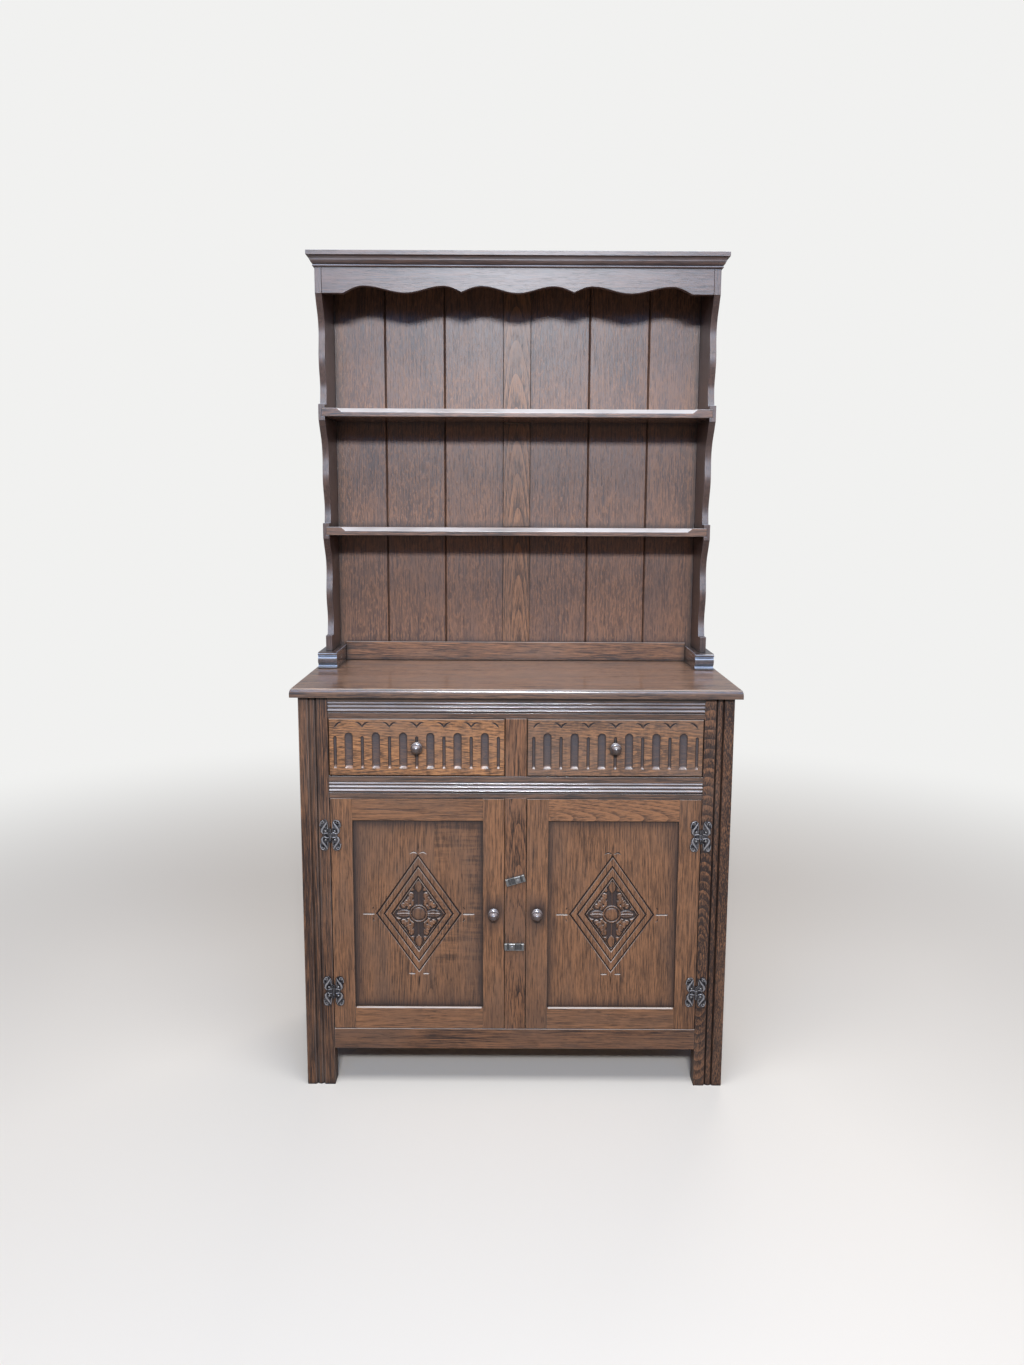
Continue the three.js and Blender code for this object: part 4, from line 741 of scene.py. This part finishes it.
for number, (word, side) in enumerate(sides):
    body, centre = f"{word}_door", side * bay_middle

    def shifted(points, centre=centre):
        return [(x + centre, z + carving_z) for x, z in points]

    stiles = [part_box(f"{body}_{part}_stile") for part in ("hinge", "lock")]
    edges = (min(high[0] for _, high in stiles) / mm, max(low[0] for low, _ in stiles) / mm,
             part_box(f"{body}_bottom_rail")[1][2] / mm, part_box(f"{body}_top_rail")[0][2] / mm)
    edge_shades, (pale_cuts, dark_cuts) = panel_edge_shades[number], panel_cuts[number]

    def panel_depth(x, z, centre=centre, edges=edges, edge_shades=edge_shades, pale_cuts=pale_cuts,
                    dark_cuts=dark_cuts):
        left, right, foot, head = edges
        # Painted shade that fades out from the panel's edges
        near = zip((x - left, right - x, z - foot, head - z), edge_shades)
        edge_shade = max(share * max(0.0, 1 - max(0.0, away) / edge_shade_reach) ** 1.7 for away, share in near)
        x, z = x - centre, z - carving_z
        if abs(x) > carving_half_x or abs(z) > carving_half_z:
            return 0.0, edge_shade
        # Stain in the V cuts, with painted shade on the upper flank, which faces down; the lower lip keeps
        # less of it.
        groove, over, under = (max(cut_depth(cut, x, z + shift) for cut in diamonds)
                               for shift in (0.0, lip_reach, -lip_reach))
        stain_and_shade = groove / groove_dark_depth * (up_facing_lip_share if over > under + 0.2 else 1.0)
        if abs(x) / rosette_half_x + abs(z) / rosette_half_z < 1:
            ground = rosette_depth(x, z)
            return max(groove, ground), max(stain_and_shade, ground / ground_dark)
        # Unstained cuts, pale on their up-facing flanks from the painted highlight.
        bare = max(cut_depth(cut, x, z) for cut in pale_cuts)
        if bare > 0:
            return bare, 0.0
        tick = max(cut_depth(cut, x, z) for cut in dark_cuts)
        return max(groove, tick), max(edge_shade, stain_and_shade, 2 * tick)

    lines = [(shifted(contour), False) for cut in diamonds + dark_cuts + pale_cuts
             for contour in cut["contours"]]
    for inset in (*edge_shade_steps, edge_shade_reach):
        left, right, foot, head = (place + way * inset for place, way in zip(edges, (1, -1, 1, -1)))
        lines.append(([(left, foot), (right, foot), (right, head), (left, head)], True))
    low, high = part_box(f"{body}_panel")
    if number == 0:
        lines.append(([(glue_joint, low[2] / mm), (glue_joint, high[2] / mm)], False))
    panel = carved((low[0] / mm, low[2] / mm), (high[0] / mm, high[2] / mm), panel_y, panel_back,
                   lines, shifted(rosette_dots), panel_depth)
    mesh = finish_mesh(panel, f"{body}_panel_carved", 34)
    lay_grain(mesh, "z", 178 + number, tilt=0.025, **panel_grain[number])
    new_piece(mesh, body, "panel_oak", panel_oak, f"{body}_panel")
    knob_x = side * door_knob_side
    board(f"{body}_hinge_stile", "panel_oak", panel_oak, "z", 70 + number, body=body, tone=0.08,
          width=1.6 * mm)
    # The lock stile is darkened round the knob and towards its foot.
    board(f"{body}_lock_stile", "panel_oak", panel_oak, "z", 72 + number, body=body, tone=0.1,
          width=1.6 * mm, marks=((knob_x, *knob_darkening), (knob_x, *stile_foot_darkening)))
    board(f"{body}_top_rail", "panel_oak", panel_oak, "x", 74 + number, body=body, width=1.6 * mm,
          pith=(-0.01, 0.05), **top_rail_grain[number])
    chamfer = []
    for end, stop in ((92.0, 73.0), (328.5, 347.5)):
        chamfer += [((side * end, front_face, chamfer_foot), (side * stop, front_face, stop_foot)),
                    ((side * end, chamfer_back, chamfer_top), (side * stop, stop_back, chamfer_top)),
                    ((side * end, front_face, chamfer_top), (side * stop, front_face, chamfer_top))]
    board(f"{body}_bottom_rail", "panel_oak", panel_oak, "x", 76 + number, body=body, width=0.6 * mm,
          moved=chamfer, tone=bottom_rail_tones[number])

# Hinges. Cast butterfly leaves, one nailed to the leg with the pin and one nailed to the door,
# dark with age and rubbed bright on their high parts.


def cast_metal(name, dark, bright, roughness):
    """Cast metal with a dark film in its hollows, pits, and bright rubbed edges."""
    material, tree, shader = new_material(name)
    shader.inputs["Metallic"].default_value = 0.6
    rubbed, sunk = add_node(tree, "Attribute"), add_node(tree, "Attribute")
    rubbed.attribute_name, sunk.attribute_name = "rubbed", "sunk"
    spot = add_node(tree, "TexCoord").outputs["Object"]
    pits = add_node(tree, "TexNoise", {"Vector": spot, "Scale": 900.0}).outputs["Fac"]
    film = add_node(tree, "TexNoise", {"Vector": spot, "Scale": 180.0, "Detail": 4.0}).outputs["Fac"]
    shine = add_node(tree, "MapRange", {"Value": film, "From Min": 0.4, "From Max": 0.66, "To Max": 0.2})
    half_wear = add_node(tree, "Math", {0: rubbed.outputs["Fac"], 1: 0.6}, "MULTIPLY")
    paling = add_node(tree, "Math", {0: shine.outputs[0], 1: half_wear.outputs[0]}, "ADD")
    paling.use_clamp = True
    metal = add_node(tree, "Mix", {0: paling.outputs[0], 6: (*dark, 1), 7: (*bright, 1)})
    dirt = add_node(tree, "Mix", {0: sunk.outputs["Fac"], 6: metal.outputs[2],
                                  7: (0.02, 0.018, 0.02, 1)})
    rough = add_node(tree, "MapRange", {"Value": film, "To Min": roughness + 0.12,
                                        "To Max": roughness - 0.1})
    bump = add_node(tree, "Bump", {"Strength": 0.5, "Distance": 0.3 * mm, "Height": pits})
    tree.links.new(dirt.outputs[2], shader.inputs["Base Color"])
    tree.links.new(rough.outputs[0], shader.inputs["Roughness"])
    tree.links.new(bump.outputs[0], shader.inputs["Normal"])
    return material


def cast_piece(node, slot, material, body, width):
    bm = solid_of(node)
    soften(bm, width)
    return new_piece(finish_mesh(bm, node + "_cast", 45), body, slot, material, node)


def nail(name, x, y, z, radius, body, slot, material):
    """A domed nail head, its shank sunk in the wood behind."""
    profile = ((-2.0, 0.7), (-0.3, 0.7), (0.0, radius), (0.3, radius), (0.75, radius * 0.72),
               (1.0, radius * 0.35))
    new_piece(turned(name, profile, (x, y, z), 16), body, slot, material)


hinge_iron = cast_metal("old dark hinge metal", (0.014, 0.013, 0.016), (0.62, 0.58, 0.58), 0.36)
nail_metal = cast_metal("rubbed nail heads", (0.3, 0.28, 0.27), (0.8, 0.76, 0.73), 0.3)
hinge_pin, upper_hinge, lower_hinge = 397.25, 575.0, 220.5
leaf_face, leaf_back = -208.3, -207.6
leaf_nails = ((10.0, 9.8, -209.6, 2.0), (10.0, -9.8, -209.6, 2.0),
              (17.6, 27.0, -208.4, 1.2), (17.6, -27.0, -208.4, 1.2))
curl_arc = 8
curls = (
    (((15.2, 3.6), (18.2, 8.5), (16.8, 14.5), (12.6, 20.2), (8.8, 25.6), (6.6, 30.2)),
     (1.4, 2.9, 3.1, 2.7, 2.1, 1.0)),
    (((21.6, 20.0), (21.2, 25.6), (18.6, 30.6), (15.2, 32.0), (12.8, 29.0), (14.6, 26.4)),
     (1.0, 1.4, 1.6, 1.5, 1.3, 0.9)),
    (((5.6, 15.6), (5.5, 21.0), (5.4, 26.0)), (0.7, 0.9, 0.7)),
    (((4.6, 5.2), (9.0, 4.8), (13.6, 3.6)), (1.5, 1.4, 1.2)))


def curl(bm, points, radii, place, way, up):
    """A raised curl of cast metal, laid along a line on the leaf and bright along its ridge."""
    bright = bm.verts.layers.float["rubbed"]
    sections = []
    for k, (x, z) in enumerate(points):
        ahead, behind = points[min(k + 1, len(points) - 1)], points[max(k - 1, 0)]
        run, rise = ahead[0] - behind[0], ahead[1] - behind[1]
        length = math.hypot(run, rise)
        section = []
        for step in range(curl_arc + 1):
            turn = math.pi * step / curl_arc
            off, out = radii[k] * math.cos(turn), radii[k] * math.sin(turn)
            y = leaf_back if step in (0, curl_arc) else leaf_face - 0.6 * out
            section.append(bm.verts.new(((place[0] + way * (x - rise / length * off)) * mm, y * mm,
                                         (place[1] + up * (z + run / length * off)) * mm)))
            section[-1][bright] = max(0.0, math.sin(turn)) ** 4
        sections.append(section)
    for inner, outer in zip(sections, sections[1:]):
        for k in range(curl_arc):
            bm.faces.new((inner[k], inner[k + 1], outer[k + 1], outer[k]))
        bm.faces.new((inner[0], inner[-1], outer[-1], outer[0]))
    bm.faces.new(sections[0])
    bm.faces.new(sections[-1])


for word, side in sides:
    for level_word, z in (("upper", upper_hinge), ("lower", lower_hinge)):
        for part, body, way in (("frame", "root", side), ("door", f"{word}_door", -side)):
            node = f"{word}_{part}_leaf_{level_word}"
            cast_piece(node, "hinge_metal", hinge_iron, body, 0.5 * mm)
            bm = bmesh.new()
            bm.verts.layers.float.new("rubbed")
            for up in (-1, 1):
                for points, radii in curls:
                    curl(bm, points, radii, (side * hinge_pin, z), way, up)
            bmesh.ops.recalc_face_normals(bm, faces=bm.faces)
            new_piece(finish_mesh(bm, f"{node}_curls", 60), body, "hinge_metal", hinge_iron)
            for count, (out, up, y, radius) in enumerate(leaf_nails):
                nail(f"{node}_nail_{count}", side * hinge_pin + way * out, y, z + up, radius, body,
                     "hinge_metal", nail_metal)

# Turn buttons. Two small plates of cast metal on the stile between the doors, each on one screw,
# that turn over the doors' edges to hold them shut.
button_pewter = cast_metal("dull pewter of the buttons", (0.2, 0.19, 0.18), (0.6, 0.57, 0.53), 0.4)
button_left, button_right, button_half, button_rim = -26.0, 16.0, 7.5, 6.0
button_run = ((button_left, 0.4), (-25.2, 0.0), (-21.0, 0.0), (-20.2, 1.9), (-16.8, 1.9), (-16.2, 0.9),
              (-14.6, 0.9), (-14.0, 1.9), (-7.6, 1.9), (-6.6, 2.4), (-5.8, 0.2), (5.8, 0.2), (6.6, 2.4),
              (7.6, 1.9), (10.6, 1.9), (11.4, 0.0), (15.2, 0.0), (button_right, 0.4))


def button_depth(x, z):
    """How deep the plate's cast pattern is: raised ends, a boss round the screw, and bars between."""
    sunk = 0.0
    for (start, first), (end, last) in zip(button_run, button_run[1:]):
        if start <= x <= end:
            sunk = first + (last - first) * (x - start) / (end - start)
    if abs(z) > button_rim:
        sunk = min(sunk, 0.9)
    return sunk, min(0.7, sunk / 3.2)


for word, x, z, way, tilt in (("upper", 5.0, 477.0, 1, -16.6), ("lower", -6.7, 324.5, -1, 0.0)):
    node, body = f"turn_button_{word}", f"{word}_button"
    low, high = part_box(node)
    lines = [([(along, -button_half), (along, button_half)], False) for along, _ in button_run[1:-1]]
    for up in (-button_rim - 0.5, -button_rim, button_rim, button_rim + 0.5):
        lines.append(([(button_left, up), (button_right, up)], False))
    plate = carved((button_left, -button_half), (button_right, button_half), low[1], face_y - 0.3 * mm,
                   lines, [], button_depth, 0.7)
    turn = Matrix.Rotation(math.radians(tilt), 4, "Y") @ Matrix.Scale(way, 4, (1, 0, 0))
    bmesh.ops.transform(plate, matrix=Matrix.Translation((x * mm, 0, z * mm)) @ turn, verts=plate.verts)
    bmesh.ops.recalc_face_normals(plate, faces=plate.faces)
    new_piece(finish_mesh(plate, f"{node}_cast", 40), body, "button_metal", button_pewter, node)
    nail(f"{node}_screw", x, low[1] / mm + 0.2, z, 3.0, body, "button_metal", nail_metal)

# Sides and feet of the plate rack. Each side is one oak board sawn to a run of bays, and is
# fixed to a moulded oak foot that stands on the worktop.
# The pale blue that up-facing slopes of the rack and its feet are painted with is a painted reflection.
rack_oak = oak("dark oak of the rack", (0.036, 0.019, 0.017), (0.12, 0.061, 0.043),
               (0.36, 0.36, 0.42), haze=(0.09, 0.066, 0.06), gloss=(0.6, 0.36, 1.5), paling=0.8)
foot_oak = oak("polished oak of the rack feet", (0.03, 0.02, 0.02), (0.11, 0.066, 0.055),
               (0.46, 0.53, 0.68), gloss=(1.0, 0.22, 1.8), open_grain=0.15)
for number, word in enumerate(("left", "right")):
    board(f"rack_side_{word}", "dark_oak", rack_oak, "z", 80 + number, width=1.5 * mm, pith=(0.0, 0.1))
    board(f"rack_foot_{word}", "dark_oak", foot_oak, "y", 82 + number, width=0.6 * mm)

# Frieze and cornice. The frieze is an oak board fixed between the sides, its foot sawn to low
# humps. Over it lies an oak top board with a moulding along its front and ends.
board("frieze", "dark_oak", rack_oak, "x", 94, pith=(0.03, 0.05))
board("cornice", "dark_oak", rack_oak, "x", 95, width=0.5 * mm)

# Shelves of the rack. Each is one oak board housed in the sides, its front edge chamfered
# between two stops and polished by use; the chamfer, which faces up, is painted pale as a highlight.
shelf_oak = oak("polished oak of the shelves", (0.024, 0.011, 0.008), (0.26, 0.12, 0.065),
                (0.52, 0.46, 0.43), gloss=(1.0, 0.2, 1.6), open_grain=0.2)
shelf_end, stop_corner, stop_end = 414.5, 407, 397
shelf_chamfer, stop_drop = 8, 8.6
for number, word in enumerate(("upper", "lower")):
    low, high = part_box(f"rack_shelf_{word}")
    front_y, top_z = low[1] / mm, high[2] / mm
    back_y = front_y + shelf_chamfer
    stops = []
    for side in (-1, 1):
        end, stop, corner = side * shelf_end, side * stop_end, side * stop_corner
        stops += [((end, front_y, top_z - shelf_chamfer), (stop, front_y, top_z - stop_drop)),
                  ((end, back_y, top_z), (stop, back_y, top_z)),
                  ((end, front_y, top_z), (corner, front_y, top_z))]
    board(f"rack_shelf_{word}", "dark_oak", shelf_oak, "x", 92 + number, width=0.8 * mm, pith=(0.04, 0.05),
          moved=stops)

# Back of the rack. Two leaves of quarter-sawn oak, each of three boards with V joints, stand
# either side of an oak muntin, with a rail along their foot.
rack_back_oak = oak("quarter-sawn oak of the rack back", (0.075, 0.034, 0.022), (0.26, 0.117, 0.058),
                    (0.3, 0.19, 0.13), fleck=0.9, haze=(0.09, 0.055, 0.047), gloss=(0.45, 0.37, 1.5),
                    paling=0.1)
inner_joint, outer_joint = 172.9, 314.7
for number, (word, side) in enumerate(sides):
    board(f"rack_back_panel_{word}", "panel_oak", rack_back_oak, "z", 84 + number, pith=(0.0, 0.1),
          tilt=0.015, joints=sorted((side * inner_joint * mm, side * outer_joint * mm)))
board("rack_back_muntin", "panel_oak", panel_oak, "z", 90, pith=(0.004, 0.045), tilt=0.06, tone=-0.02,
      arched=(1.0,))
board("rack_bottom_rail", "dark_oak", frame_oak, "x", 91, tone=0.06)
